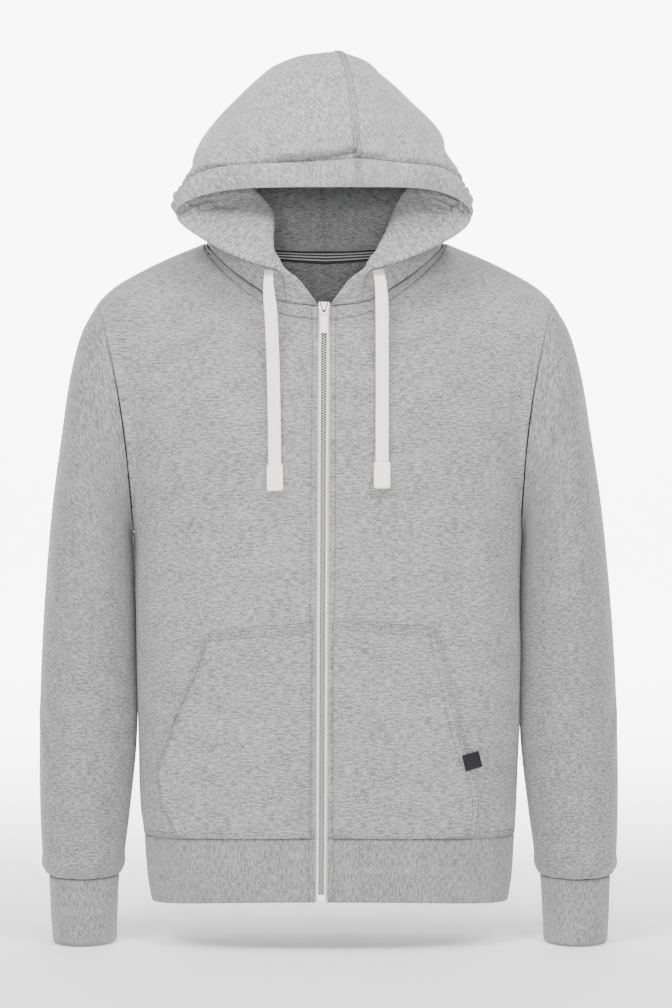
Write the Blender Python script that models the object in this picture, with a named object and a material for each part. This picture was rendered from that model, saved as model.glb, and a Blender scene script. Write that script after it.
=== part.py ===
"""Zip-up hoodie in its worn shape, with nobody in it.

Every cut piece is one closed wall of cloth: front, back, sleeves, cuffs, hem band, hood halves, pockets.
Metres, +Z up. The front faces -Y, the wearer's left is +X.
The origin is the centre of the neck at the height of the high shoulder points.
Each surface is a smooth curve through a short table of sections. The shape is worked out symmetric, and
settle() then lets the whole garment hang a little askew, with the hood turned on the neck.
"""
import math
from collections import namedtuple
from functools import lru_cache

import bmesh
import bpy
from mathutils import Matrix, Vector
from mathutils.bvhtree import BVHTree

# ---------------------------------------------------------------- driving dimensions
SEAM_GAP = 0.0003
CLOTH = 0.0024
RIB_CLOTH = 0.0028
TUNNEL_EXTRA = 0.0016
POCKET_CLOTH = 0.0018
POCKET_GAP = 0.0009

ARMPIT_HEIGHT = -0.300
SHOULDER_TIP = Vector((0.238, 0.0, -0.062))
ARMPIT = Vector((0.202, 0.0, ARMPIT_HEIGHT))
ARMHOLE_HALF_DEPTH = 0.068
ARMHOLE_BOW = 0.0105
BODY_EXPONENT = 2.4

ZIP_EDGE = 0.0062
TEETH_HALF_WIDTH = 0.0030
TEETH_PROUD = 0.0005
TAPE_INNER_EDGE = 0.0004
TAPE_OUTER_EDGE = 0.0150
TAPE_THICKNESS = 0.0008
TAPE_BEHIND_CLOTH = 0.0005
ZIP_TOP = -0.0740
ZIP_BOX_TOP = -0.6680
ZIP_BOX_HALF_WIDTH = 0.0046
ZIP_BOX_PROUD = 0.0014
ZIP_END_SPACE = 0.002

SLIDER_TOP = -0.0712
SLIDER_BOTTOM = -0.0862
SLIDER_HALF_WIDTH = 0.0047
SLIDER_FLARE = 1.18
SLIDER_PROUD = 0.0030
SLIDER_BEHIND = 0.0022
SLIDER_EASING = 0.0008
EAR_INNER_X = 0.0027
EAR_OUTER_X = 0.0038
EAR_FORWARD = 0.0013
EAR_BELOW = 0.0014
EAR_ABOVE = 0.0040
EAR_SUNK = 0.0020
EAR_EASING = 0.0003
PIN_HALF_LENGTH = 0.0033
TAB_PIVOT_HEIGHT = -0.0835
TAB_LENGTH = 0.0190
TAB_WIDTH = 0.0084
TAB_THICKNESS = 0.0015
TAB_EASING = 0.0005
TAB_SHOULDER = 0.0010
STEM_HALF_WIDTH = 0.0022
STEM_OVERLAP = 0.0010
STEM_TOP = 0.0004
STEM_EASING = 0.0002
EYE_SIDES = 24
HOLE_HALF_LENGTH = 0.0060
PIN_RADIUS = 0.0007
EYE_INNER_RADIUS = 0.0010
EYE_OUTER_RADIUS = 0.0019
PIVOT_STANDOFF = 0.0053

CORD_WIDTH = 0.0130
CORD_THICKNESS = 0.0030
CORD_END_WIDTH = 0.0164
CORD_END_THICKNESS = 0.0046
CORD_END_LENGTH = 0.0265
CORD_SEARCH = 0.012
CORD_TOUCH = 0.00002
CORD_SIDES = 10
CORD_SQUARENESS = 0.6

NECK_TAPE_ABOVE = 0.0070
NECK_TAPE_BELOW = 0.0080
NECK_TAPE_THICKNESS = 0.0010
NECK_TAPE_GAP = 0.0012
NECK_TAPE_FIRST = 3

LABEL_SIDE = 0.0165
LABEL_THICKNESS = 0.0010
LABEL_LIFT = 0.0009
LABEL_TILT = -0.24

# How the garment hangs askew: the hem and sleeves drift to +X, the zip drifts back, the hood turns.
# The wearer's right half of the hood spreads more and its crown stands higher; the left half is tucked in.
HANG_DRIFT = 0.0075
ZIP_DRIFT = 0.0085
HOOD_TURN = 0.14
HOOD_SHIFT = 0.013
HOOD_SPREAD = 0.0078
HOOD_TUCK = 0.0065
CROWN_LIFT = 0.0062
CROWN_LIFT_X = -0.045
CROWN_LIFT_REACH = 0.035

# Columns shared by pieces that meet: front edge to high shoulder point, on to the shoulder tip,
# and from the high shoulder point round the back of the neck.
NECK_FRONT_COLUMNS = (0.0, 0.08, 0.16, 0.23, 0.30, 0.36, 0.42, 0.49, 0.57, 0.67, 0.78, 0.89, 1.0)
SHOULDER_COLUMNS = (1.2, 1.4, 1.6, 1.8, 2.0)
NECK_BACK_COLUMNS = (1.0, 1.12, 1.25, 1.38, 1.5, 1.63, 1.75, 1.88, 2.0)
# The rows of a body panel up to the armpit, and how many lie above it.
ARMPIT_CLIMB = 0.315
LOW_CLIMBS = (0.0, 0.035, 0.08, 0.13, 0.18, 0.23, 0.275, ARMPIT_CLIMB)
YOKE_STEPS = 10

# ---------------------------------------------------------------- tables of sections
Ring = namedtuple("Ring", "climb height half_width front_depth back_depth front_lift")
BODY_RINGS = (
    Ring(0.000, -0.6185, 0.1940, 0.1065, 0.1080, 0.0075),
    Ring(0.035, -0.5850, 0.1965, 0.1110, 0.1120, 0.0060),
    Ring(0.100, -0.5200, 0.1990, 0.1170, 0.1130, 0.0040),
    Ring(0.170, -0.4500, 0.2002, 0.1220, 0.1150, 0.0020),
    Ring(0.240, -0.3800, 0.2012, 0.1260, 0.1210, 0.0000),
    Ring(0.315, -0.3000, 0.2020, 0.1270, 0.1300, 0.0000),
)
HEM_RINGS = (
    Ring(0.000, -0.6865, 0.1862, 0.1015, 0.1030, 0.0100),
    Ring(0.022, -0.6640, 0.1905, 0.1048, 0.1060, 0.0090),
    Ring(0.066, -0.6188, 0.1938, 0.1063, 0.1078, 0.0075),
)

Yoke = namedtuple("Yoke", "climb armhole_angle centre inner middle outer shoulder")
FRONT_YOKES = (
    Yoke(0.365, 130, (0.0062, -0.1280, -0.262), (0.060, -0.1265, -0.252), (0.112, -0.1175, -0.222),
         (0.154, -0.0990, -0.208), (0.187, -0.0760, -0.208)),
    Yoke(0.425, 95, (0.0062, -0.1270, -0.213), (0.061, -0.1255, -0.193), (0.111, -0.1135, -0.148),
         (0.153, -0.0925, -0.135), (0.189, -0.0770, -0.140)),
    Yoke(0.485, 65, (0.0062, -0.1240, -0.160), (0.066, -0.1215, -0.133), (0.114, -0.0970, -0.082),
         (0.152, -0.0730, -0.074), (0.193, -0.0630, -0.086)),
    Yoke(0.535, 36, (0.0062, -0.1190, -0.112), (0.072, -0.1110, -0.083), (0.119, -0.0660, -0.035),
         (0.150, -0.0400, -0.026), (0.197, -0.0370, -0.050)),
)
BACK_YOKES = (
    Yoke(0.365, 130, (0.0, 0.1320, -0.225), (0.060, 0.1310, -0.222), (0.113, 0.1210, -0.212),
         (0.155, 0.1010, -0.206), (0.187, 0.0770, -0.208)),
    Yoke(0.425, 95, (0.0, 0.1280, -0.150), (0.060, 0.1265, -0.143), (0.112, 0.1170, -0.130),
         (0.153, 0.0980, -0.133), (0.189, 0.0800, -0.140)),
    Yoke(0.485, 65, (0.0, 0.1180, -0.085), (0.060, 0.1140, -0.077), (0.113, 0.0980, -0.062),
         (0.152, 0.0780, -0.070), (0.193, 0.0650, -0.085)),
    Yoke(0.535, 36, (0.0, 0.1050, -0.035), (0.064, 0.0980, -0.027), (0.117, 0.0640, -0.015),
         (0.150, 0.0420, -0.024), (0.197, 0.0380, -0.049)),
)
YOKE_TOP_CLIMB = 0.575
YOKE_COLUMNS = (0.0, 0.4, 0.8, 1.2, 1.6, 2.0)

Stop = namedtuple("Stop", "column point")
NECK_FRONT = (
    Stop(0.000, (0.0062, -0.1130, -0.0750)),
    Stop(0.165, (0.0390, -0.1120, -0.0710)),
    Stop(0.290, (0.0605, -0.1050, -0.0614)),
    Stop(0.530, (0.0946, -0.0800, -0.0360)),
    Stop(0.790, (0.1180, -0.0400, -0.0120)),
    Stop(1.000, (0.1250, 0.0000, 0.0000)),
)
NECK_BACK = (
    Stop(1.00, (0.1250, 0.0000, 0.0000)),
    Stop(1.22, (0.1170, 0.0350, 0.0005)),
    Stop(1.43, (0.0980, 0.0640, -0.0010)),
    Stop(1.70, (0.0600, 0.0860, -0.0040)),
    Stop(2.00, (0.0000, 0.0950, -0.0060)),
)
SHOULDER_SEAM = (
    Stop(1.00, (0.1250, 0.0, 0.0000)),
    Stop(1.34, (0.1660, 0.0, -0.0170)),
    Stop(1.64, (0.2005, 0.0, -0.0340)),
    Stop(1.84, (0.2225, 0.0, -0.0475)),
    Stop(2.00, (0.2380, 0.0, -0.0620)),
)

SleeveRing = namedtuple("SleeveRing", "along outer_x outer_z inner_x inner_z half_depth centre_y bow")
SLEEVE_RINGS = (
    SleeveRing(0.000, 0.2380, -0.062, 0.2020, -0.300, 0.068, 0.000, 1.0),
    SleeveRing(0.037, 0.2555, -0.094, 0.2042, -0.306, 0.075, 0.000, 0.6),
    SleeveRing(0.086, 0.2680, -0.141, 0.2042, -0.313, 0.080, 0.000, 0.3),
    SleeveRing(0.141, 0.2765, -0.196, 0.2034, -0.322, 0.083, 0.001, 0.1),
    SleeveRing(0.217, 0.2870, -0.271, 0.2026, -0.340, 0.083, 0.001, 0.0),
    SleeveRing(0.286, 0.2935, -0.340, 0.2020, -0.375, 0.079, -0.002, 0.0),
    SleeveRing(0.370, 0.2990, -0.424, 0.2010, -0.440, 0.072, -0.006, 0.0),
    SleeveRing(0.455, 0.3015, -0.508, 0.2003, -0.513, 0.065, -0.011, 0.0),
    SleeveRing(0.540, 0.3010, -0.593, 0.2080, -0.593, 0.057, -0.016, 0.0),
    SleeveRing(0.592, 0.2975, -0.645, 0.2150, -0.645, 0.051, -0.020, 0.0),
    SleeveRing(0.606, 0.2925, -0.659, 0.2185, -0.659, 0.045, -0.021, 0.0),
)
SLEEVE_STEPS = (0.0, 0.018, 0.037, 0.061, 0.086, 0.113, 0.141, 0.179, 0.217, 0.286, 0.370, 0.455, 0.520,
                0.565, 0.592, 0.606)

CuffRing = namedtuple("CuffRing", "height outer_x inner_x half_depth centre_y")
CUFF_RINGS = (
    CuffRing(-0.6593, 0.2922, 0.2188, 0.0445, -0.021),
    CuffRing(-0.6700, 0.2915, 0.2200, 0.0425, -0.021),
    CuffRing(-0.7050, 0.2900, 0.2215, 0.0400, -0.022),
    CuffRing(-0.7265, 0.2880, 0.2225, 0.0380, -0.022),
)

HoodRow = namedtuple("HoodRow", "share rim tunnel fold behind flank rear seam")
HOOD_COLUMNS = (0.0, 0.16, 0.42, 0.68, 1.0, 1.5, 2.0)
HOOD_ROWS = (
    HoodRow(0.10, (0.026, -0.127, -0.0500), (0.045, -0.120, -0.0400), (0.073, -0.104, -0.0260),
            (0.102, -0.070, -0.0080), (0.1240, -0.005, 0.0080), (0.088, 0.073, 0.004), (0.0, 0.098, 0.003)),
    HoodRow(0.15, (0.046, -0.1325, -0.0405), (0.041, -0.120, -0.0290), (0.067, -0.101, -0.0150),
            (0.098, -0.067, -0.0020), (0.1235, -0.003, 0.0120), (0.089, 0.074, 0.009), (0.0, 0.0995, 0.008)),
    HoodRow(0.20, (0.068, -0.135, -0.0345), (0.048, -0.121, -0.0180), (0.060, -0.099, -0.0040),
            (0.095, -0.063, 0.0050), (0.1230, -0.002, 0.0170), (0.090, 0.075, 0.014), (0.0, 0.101, 0.013)),
    HoodRow(0.30, (0.098, -0.120, -0.0220), (0.079, -0.116, -0.0030), (0.056, -0.098, 0.0140),
            (0.091, -0.053, 0.0200), (0.1235, 0.000, 0.0280), (0.092, 0.077, 0.028), (0.0, 0.107, 0.027)),
    HoodRow(0.40, (0.129, -0.093, -0.0040), (0.1120, -0.092, 0.0150), (0.060, -0.087, 0.0310),
            (0.097, -0.043, 0.0380), (0.1255, 0.002, 0.0430), (0.094, 0.080, 0.044), (0.0, 0.114, 0.043)),
    HoodRow(0.48, (0.154, -0.067, 0.0140), (0.1390, -0.066, 0.0300), (0.070, -0.077, 0.0480),
            (0.106, -0.040, 0.0550), (0.1285, 0.003, 0.0600), (0.095, 0.083, 0.060), (0.0, 0.119, 0.060)),
    HoodRow(0.53, (0.1545, -0.068, 0.0280), (0.1530, -0.055, 0.0430), (0.090, -0.072, 0.0630),
            (0.1150, -0.036, 0.0690), (0.1310, 0.006, 0.0730), (0.096, 0.085, 0.073), (0.0, 0.1215, 0.073)),
    HoodRow(0.58, (0.1370, -0.084, 0.0350), (0.1495, -0.069, 0.0560), (0.1150, -0.068, 0.0780),
            (0.1270, -0.030, 0.0840), (0.1330, 0.010, 0.0880), (0.096, 0.087, 0.088), (0.0, 0.1235, 0.088)),
    HoodRow(0.66, (0.1060, -0.114, 0.0450), (0.1220, -0.103, 0.0720), (0.1300, -0.068, 0.0900),
            (0.1330, -0.024, 0.1030), (0.1240, 0.023, 0.1110), (0.084, 0.087, 0.114), (0.0, 0.122, 0.114)),
    HoodRow(0.80, (0.0680, -0.135, 0.0410), (0.0770, -0.127, 0.0680), (0.102, -0.092, 0.1040),
            (0.1125, -0.048, 0.1310), (0.1020, 0.003, 0.1430), (0.067, 0.061, 0.150), (0.0, 0.105, 0.153)),
    HoodRow(0.91, (0.0300, -0.145, 0.0405), (0.0340, -0.139, 0.0700), (0.054, -0.113, 0.1180),
            (0.0640, -0.068, 0.1590), (0.0600, -0.018, 0.1780), (0.040, 0.033, 0.185), (0.0, 0.074, 0.182)),
    HoodRow(1.00, (0.0, -0.148, 0.0400), (0.0, -0.142, 0.0710), (0.0, -0.119, 0.1210),
            (0.0, -0.079, 0.1650), (0.0, -0.030, 0.1935), (0.0, 0.008, 0.2020), (0.0, 0.042, 0.1985)),
)
HOOD_STEPS = (0.0, 0.05, 0.10, 0.15, 0.20, 0.25, 0.30, 0.35, 0.40, 0.44, 0.47, 0.495, 0.52, 0.55, 0.58, 0.62,
              0.66, 0.73, 0.80, 0.87, 0.94, 1.0)
HOOD_CENTRE = Vector((0.0, -0.010, 0.060))
SEAM_ROUNDING = 0.030
TUNNEL_FADE = (0.12, 0.20)
FOLD_PASSES = 6
# The corner of the face opening, where the cloth is pinched round a tight fold.
CORNER_SHARE = 0.50
CORNER_REACH = 0.14

PocketEdge = namedtuple("PocketEdge", "height outer_x")
POCKET_EDGES = {
    "right": (PocketEdge(-0.6125, 0.151), PocketEdge(-0.600, 0.156), PocketEdge(-0.578, 0.1650),
              PocketEdge(-0.550, 0.1680), PocketEdge(-0.530, 0.1610), PocketEdge(-0.500, 0.1500),
              PocketEdge(-0.450, 0.1290), PocketEdge(-0.403, 0.1130)),
    "left": (PocketEdge(-0.6125, 0.152), PocketEdge(-0.600, 0.1530), PocketEdge(-0.578, 0.1540),
             PocketEdge(-0.550, 0.1490), PocketEdge(-0.530, 0.1410), PocketEdge(-0.500, 0.1330),
             PocketEdge(-0.450, 0.1230), PocketEdge(-0.399, 0.1120)),
}
POCKET_TOP_CENTRE = {"right": -0.3935, "left": -0.3895}
POCKET_INNER_X = 0.0112
POCKET_COLUMNS = 10
POCKET_FOOT_RISE = 0.0030
LABEL_PLACE = {"left": (0.1460, -0.534)}
# How a point of the front is found from its x and z: tries, pace along climb and column, step for slopes.
FACING_TRIES = 30
FACING_CLIMB_PACE = 0.8
FACING_COLUMN_PACE = 7.0
SLOPE_STEP = 0.004

CordStop = namedtuple("CordStop", "x y z")
CORD_ROUTES = {
    "right": (CordStop(-0.0555, -0.1290, -0.0400), CordStop(-0.0553, -0.1294, -0.0600),
              CordStop(-0.0530, -0.1296, -0.0850), CordStop(-0.0508, -0.1300, -0.1300),
              CordStop(-0.0494, -0.1306, -0.1800), CordStop(-0.0485, -0.1312, -0.2345)),
    "left": (CordStop(0.0542, -0.1290, -0.0395), CordStop(0.0562, -0.1293, -0.0520),
             CordStop(0.0576, -0.1296, -0.0700), CordStop(0.0582, -0.1300, -0.1200),
             CordStop(0.0584, -0.1306, -0.1750), CordStop(0.0585, -0.1312, -0.2320)),
}
CORD_POINTS = 12

SIDES = {"left": 1.0, "right": -1.0}

# ---------------------------------------------------------------- finishes
Finish = namedtuple("Finish", "colour roughness metallic")
FINISHES = {
    "marl_jersey": Finish((0.46, 0.46, 0.47, 1.0), 0.95, 0.0),
    "marl_rib": Finish((0.44, 0.44, 0.45, 1.0), 0.95, 0.0),
    "cream_cotton": Finish((0.85, 0.82, 0.74, 1.0), 0.85, 0.0),
    "zip_metal": Finish((0.62, 0.58, 0.50, 1.0), 0.35, 1.0),
    "cream_lacquer": Finish((0.86, 0.84, 0.77, 1.0), 0.35, 0.0),
    "striped_tape": Finish((0.10, 0.10, 0.11, 1.0), 0.85, 0.0),
    "label_black": Finish((0.02, 0.02, 0.02, 1.0), 0.70, 0.0),
}


def finish(name):
    """The material of that name, made the first time it is asked for."""
    material = bpy.data.materials.get(name)
    if material is None:
        look = FINISHES[name]
        material = bpy.data.materials.new(name)
        material.use_nodes = True
        shader = material.node_tree.nodes["Principled BSDF"]
        shader.inputs["Base Color"].default_value = look.colour
        shader.inputs["Roughness"].default_value = look.roughness
        shader.inputs["Metallic"].default_value = look.metallic
    return material


# ---------------------------------------------------------------- curves
def ease(value, low, high):
    """0 below low, 1 above high, with a soft start and end between."""
    share = min(max((value - low) / (high - low), 0.0), 1.0)
    return share * share * (3.0 - 2.0 * share)


def smooth(keys, points, key, end_slope=None):
    """The point at key on a smooth curve through points, which sit at rising keys."""
    last = len(keys) - 1
    span = 0
    while span < last - 1 and key > keys[span + 1]:
        span += 1

    def slope(at):
        if at == last and end_slope is not None:
            return end_slope
        low = max(at - 1, 0)
        high = min(at + 1, last)
        return (points[high] - points[low]) / (keys[high] - keys[low])

    step = keys[span + 1] - keys[span]
    share = (key - keys[span]) / step
    square = share * share
    cube = square * share
    return (points[span] * (2.0 * cube - 3.0 * square + 1.0)
            + slope(span) * (step * (cube - 2.0 * square + share))
            + points[span + 1] * (3.0 * square - 2.0 * cube)
            + slope(span + 1) * (step * (cube - square)))


def along_stops(stops, column):
    """The point at a column on the smooth curve through a table of stops."""
    return smooth([stop.column for stop in stops], [Vector(stop.point) for stop in stops], column)


def settle(point):
    """Where a point of the symmetric shape lies once the garment hangs a little askew."""
    below = max(-point.z, 0.0)
    front = ease(-point.y, 0.0, 0.10)
    turned = ease(point.z, -0.030, 0.040)
    middle = max(1.0 - (point.x / 0.200) ** 2, 0.0)
    crown = max(1.0 - (point.x / 0.160) ** 2, 0.0)
    ridge = max(1.0 - (point.x / 0.055) ** 2, 0.0)
    drift = HANG_DRIFT * below - ZIP_DRIFT * below / 0.68 * front * middle
    turn = turned * (HOOD_SHIFT * ridge - HOOD_TURN * point.y * crown)
    spread = HOOD_SPREAD * ease(-point.x, 0.05, 0.10) * ease(point.z, 0.0, 0.04)
    spread *= 1.0 - 0.9 * ease(point.z, 0.08, 0.12)
    tuck = HOOD_TUCK * ease(point.x, 0.05, 0.10) * ease(point.z, 0.065, 0.10)
    aside = (point.x - CROWN_LIFT_X) / CROWN_LIFT_REACH
    lift = CROWN_LIFT * math.exp(-aside ** 2) * ease(point.z, 0.08, 0.16)
    return Vector((point.x + drift + turn - spread - tuck, point.y, point.z + lift))


# ---------------------------------------------------------------- cloth walls
def grid_normals(grid, wraps):
    """Unit normals of a grid of points, rows upwards and columns towards the wearer's left at the front."""
    rows = len(grid)
    columns = len(grid[0])
    normals = []
    for row in range(rows):
        line = []
        for column in range(columns):
            if wraps:
                ahead = grid[row][(column + 1) % columns]
                astern = grid[row][(column - 1) % columns]
            else:
                ahead = grid[row][min(column + 1, columns - 1)]
                astern = grid[row][max(column - 1, 0)]
            above = grid[min(row + 1, rows - 1)][column]
            under = grid[max(row - 1, 0)][column]
            line.append((ahead - astern).cross(above - under).normalized())
        normals.append(line)
    return normals


def level_out(normals, row=None, column=None, axis=0):
    """Take one axis out of the normals of a seam edge, so that the cut end lies in the seam's plane."""
    cells = []
    if row is not None:
        cells = [(row, at) for at in range(len(normals[row]))]
    if column is not None:
        cells = [(at, column) for at in range(len(normals))]
    for at_row, at_column in cells:
        normal = normals[at_row][at_column]
        normal[axis] = 0.0
        normal.normalize()


def offset_grid(grid, normals, distance):
    """The grid moved along its normals, by one distance or by a distance for each cell."""
    if not callable(distance):
        return [[point + normal * distance for point, normal in zip(line, ways)]
                for line, ways in zip(grid, normals)]
    return [[point + normal * distance(row, column)
             for column, (point, normal) in enumerate(zip(line, ways))]
            for row, (line, ways) in enumerate(zip(grid, normals))]


def mirrored(grid):
    """The same grid on the wearer's other side, with its columns turned round so that it still faces out."""
    return [[Vector((-point.x, point.y, point.z)) for point in reversed(line)] for line in grid]


def add_object(name, bm, material):
    mesh = bpy.data.meshes.new(name)
    bm.normal_update()
    bm.to_mesh(mesh)
    bm.free()
    mesh.materials.append(finish(material))
    piece = bpy.data.objects.new(name, mesh)
    bpy.context.scene.collection.objects.link(piece)
    return piece


def cloth_wall(name, outer, inner, material, wraps=False):
    """A closed wall between two grids of points, open at its ends like the cloth it stands for."""
    bm = bmesh.new()
    skins = [[[bm.verts.new(settle(point)) for point in line] for line in grid] for grid in (outer, inner)]
    rows = len(outer)
    columns = len(outer[0])
    around = columns if wraps else columns - 1
    for row in range(rows - 1):
        for column in range(around):
            after = (column + 1) % columns
            quad = [(row, column), (row, after), (row + 1, after), (row + 1, column)]
            corners = [skins[0][r][c].co for r, c in quad]
            if (corners[0] - corners[2]).length > (corners[1] - corners[3]).length:
                quad = quad[1:] + quad[:1]
            for half in (quad[:3], quad[2:] + quad[:1]):
                bm.faces.new([skins[0][r][c] for r, c in half])
                bm.faces.new([skins[1][r][c] for r, c in reversed(half)])
    border = [(0, column) for column in range(columns)]
    upper = [(rows - 1, column) for column in range(columns)]
    if wraps:
        loops = [border + border[:1], list(reversed(upper + upper[:1]))]
    else:
        right = [(row, columns - 1) for row in range(1, rows - 1)]
        left = [(row, 0) for row in range(1, rows - 1)]
        loops = [border + right + list(reversed(upper)) + list(reversed(left)) + border[:1]]
    edges = []
    for loop in loops:
        for (row_a, column_a), (row_b, column_b) in zip(loop, loop[1:]):
            edges.append(bm.faces.new([skins[0][row_b][column_b], skins[0][row_a][column_a],
                                       skins[1][row_a][column_a], skins[1][row_b][column_b]]))
    bmesh.ops.triangulate(bm, faces=edges, quad_method="SHORT_EDGE", ngon_method="BEAUTY")
    piece = add_object(name, bm, material)
    piece.data.shade_smooth()
    piece.data.set_sharp_from_angle(angle=math.radians(50))
    return piece


# ---------------------------------------------------------------- seams that pieces share
def armhole(angle):
    """The armhole seam of the wearer's left. 0 degrees is the shoulder tip, 90 the front, 180 the armpit."""
    turn = math.radians(angle)
    share = (1.0 - math.cos(turn)) / 2.0
    point = SHOULDER_TIP.lerp(ARMPIT, share)
    point.x -= ARMHOLE_BOW * math.sin(turn) ** 2
    point.y -= ARMHOLE_HALF_DEPTH * math.sin(turn)
    return point


def armhole_normal(angle, under_tilt):
    """The way out of the cloth along the armhole seam."""
    turn = math.radians(angle)
    tilt = 0.3 + 0.2 * max(math.cos(turn), 0.0) + under_tilt * max(-math.cos(turn), 0.0) ** 2
    return Vector((tilt, -math.sin(turn), math.cos(turn) * 0.9)).normalized()


def neck(column):
    """The neck seam, from the zip edge at 0 over the high shoulder point at 1 to the centre back at 2."""
    if column <= 1.0:
        return along_stops(NECK_FRONT, column)
    return along_stops(NECK_BACK, column)


def ring_point(ring, column):
    """A point of a body ring: column 0 is the centre front, 2 the side and 4 the centre back."""
    turn = math.radians(45.0 * column)
    across = abs(math.sin(turn)) ** (2.0 / BODY_EXPONENT)
    deep = abs(math.cos(turn)) ** (2.0 / BODY_EXPONENT)
    front = column <= 2.0
    depth = ring.front_depth if front else ring.back_depth
    lift = ring.front_lift * math.cos(turn) ** 2 * (1.0 if front else 0.4)
    x = ring.half_width * across
    if front:
        share = max(1.0 - x / ring.half_width, 0.0)
        x += ZIP_EDGE * share
    return Vector((x, -depth * deep if front else depth * deep, ring.height + lift))


# ---------------------------------------------------------------- fronts and back
def climbs():
    """How far up the cloth each row of a body panel lies: hem to armpit, then armpit to shoulder."""
    rise = (YOKE_TOP_CLIMB - ARMPIT_CLIMB) / YOKE_STEPS
    return list(LOW_CLIMBS), [ARMPIT_CLIMB + rise * step for step in range(1, YOKE_STEPS + 1)]


def armhole_angles():
    """The armhole angle of each row from armpit to shoulder tip."""
    keys = [ARMPIT_CLIMB] + [yoke.climb for yoke in FRONT_YOKES] + [YOKE_TOP_CLIMB]
    angles = [180.0] + [float(yoke.armhole_angle) for yoke in FRONT_YOKES] + [0.0]
    return [180.0] + [smooth(keys, angles, climb) for climb in climbs()[1][:-1]] + [0.0]


def panel_point(front, climb, column):
    """A point of the left front or the left half of the back, by climb and column."""
    yokes = FRONT_YOKES if front else BACK_YOKES
    keys = [ring.climb for ring in BODY_RINGS]
    points = [ring_point(ring, column if front else 4.0 - column) for ring in BODY_RINGS]
    for yoke in yokes:
        stations = [Vector(place) for place in yoke[2:]]
        edge = armhole(yoke.armhole_angle)
        if not front:
            edge.y = -edge.y
        keys.append(yoke.climb)
        points.append(smooth(YOKE_COLUMNS, stations + [edge], column))
    keys.append(YOKE_TOP_CLIMB)
    if column > 1.0:
        top = along_stops(SHOULDER_SEAM, column)
    else:
        top = neck(column) if front else neck(2.0 - column)
    points.append(top)
    run = points[-1] - points[-2]
    plain = run / (keys[-1] - keys[-2])
    over = Vector((0.0, 1.0 if front else -1.0, 0.0)) * (run.length / (keys[-1] - keys[-2]))
    end_slope = plain.lerp(over, ease(column, 0.75, 1.0))
    return smooth(keys, points, climb, end_slope)


def panel_grid(front):
    """Points of the left front or the left half of the back, centre to side, hem to shoulder."""
    if front:
        columns = NECK_FRONT_COLUMNS + SHOULDER_COLUMNS
    else:
        columns = tuple(2.0 - column for column in reversed(NECK_BACK_COLUMNS)) + SHOULDER_COLUMNS
    low, high = climbs()
    grid = [[panel_point(front, climb, column) for column in columns] for climb in low + high]
    facing = 1.0 if front else -1.0
    for step, angle in enumerate(armhole_angles()):
        edge = armhole(angle)
        edge.y *= facing
        grid[len(low) - 1 + step][-1] = edge
    for line in grid:
        for point in line:
            inset = SEAM_GAP / 2.0
            point.y = min(point.y, -inset) if front else max(point.y, inset)
    return columns, grid


def panel_skins(front):
    """The outer and inner points of a left panel."""
    columns, grid = panel_grid(front)
    facing = 1.0 if front else -1.0
    normals = grid_normals(grid, False)
    if not front:
        normals = [[-normal for normal in line] for line in normals]
    low_rows = len(climbs()[0])
    level_out(normals, column=0, axis=0)
    level_out(normals, row=0, axis=2)
    for row in range(low_rows):
        normals[row][-1].y = 0.0
        normals[row][-1].normalize()
    for step, angle in enumerate(armhole_angles()):
        way = armhole_normal(angle, 0.7)
        way.y *= facing
        normals[low_rows - 1 + step][-1] = way
    for at, column in enumerate(columns[:-1]):
        if column <= 1.0:
            normals[-1][at] = neck_ways()[column if front else 2.0 - column]
        else:
            normals[-1][at].y = 0.0
            normals[-1][at].normalize()
    return grid, offset_grid(grid, normals, -CLOTH)


def make_fronts():
    outer, inner = panel_skins(True)
    cloth_wall("front_left", outer, inner, "marl_jersey")
    cloth_wall("front_right", mirrored(outer), mirrored(inner), "marl_jersey")


def whole_back(grid):
    """A back panel from its left half: columns from the wearer's left side to the right side."""
    return [list(reversed(line)) + [Vector((-point.x, point.y, point.z)) for point in line[1:]]
            for line in grid]


def make_back():
    outer, inner = panel_skins(False)
    cloth_wall("back", whole_back(outer), whole_back(inner), "marl_jersey")


# ---------------------------------------------------------------- sleeves and cuffs
def sleeve_angles():
    """Angles round a sleeve, which meet the rows of the front and back at the armhole."""
    front = list(reversed(armhole_angles()))
    back = [360.0 - angle for angle in reversed(front[1:-1])]
    return front + back


def oval_point(outer, inner, half_depth, centre_y, bow, angle):
    turn = math.radians(angle)
    point = outer.lerp(inner, (1.0 - math.cos(turn)) / 2.0)
    point.x -= ARMHOLE_BOW * bow * math.sin(turn) ** 2
    point.y = centre_y - half_depth * math.sin(turn)
    return point


def sleeve_point(along, angle):
    keys = [ring.along for ring in SLEEVE_RINGS]
    points = [oval_point(Vector((ring.outer_x, 0.0, ring.outer_z)), Vector((ring.inner_x, 0.0, ring.inner_z)),
                         ring.half_depth, ring.centre_y, ring.bow, angle) for ring in SLEEVE_RINGS]
    return smooth(keys, points, along)


def make_sleeves():
    angles = sleeve_angles()
    outer = [[sleeve_point(along, angle) for angle in angles] for along in SLEEVE_STEPS]
    for point in outer[0]:
        point.x += SEAM_GAP
    normals = grid_normals(outer, True)
    normals[0] = [armhole_normal(angle, -1.1) for angle in angles]
    level_out(normals, row=-1, axis=2)
    inner = offset_grid(outer, normals, -CLOTH)
    cloth_wall("sleeve_left", outer, inner, "marl_jersey", wraps=True)
    cloth_wall("sleeve_right", mirrored(outer), mirrored(inner), "marl_jersey", wraps=True)


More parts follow.
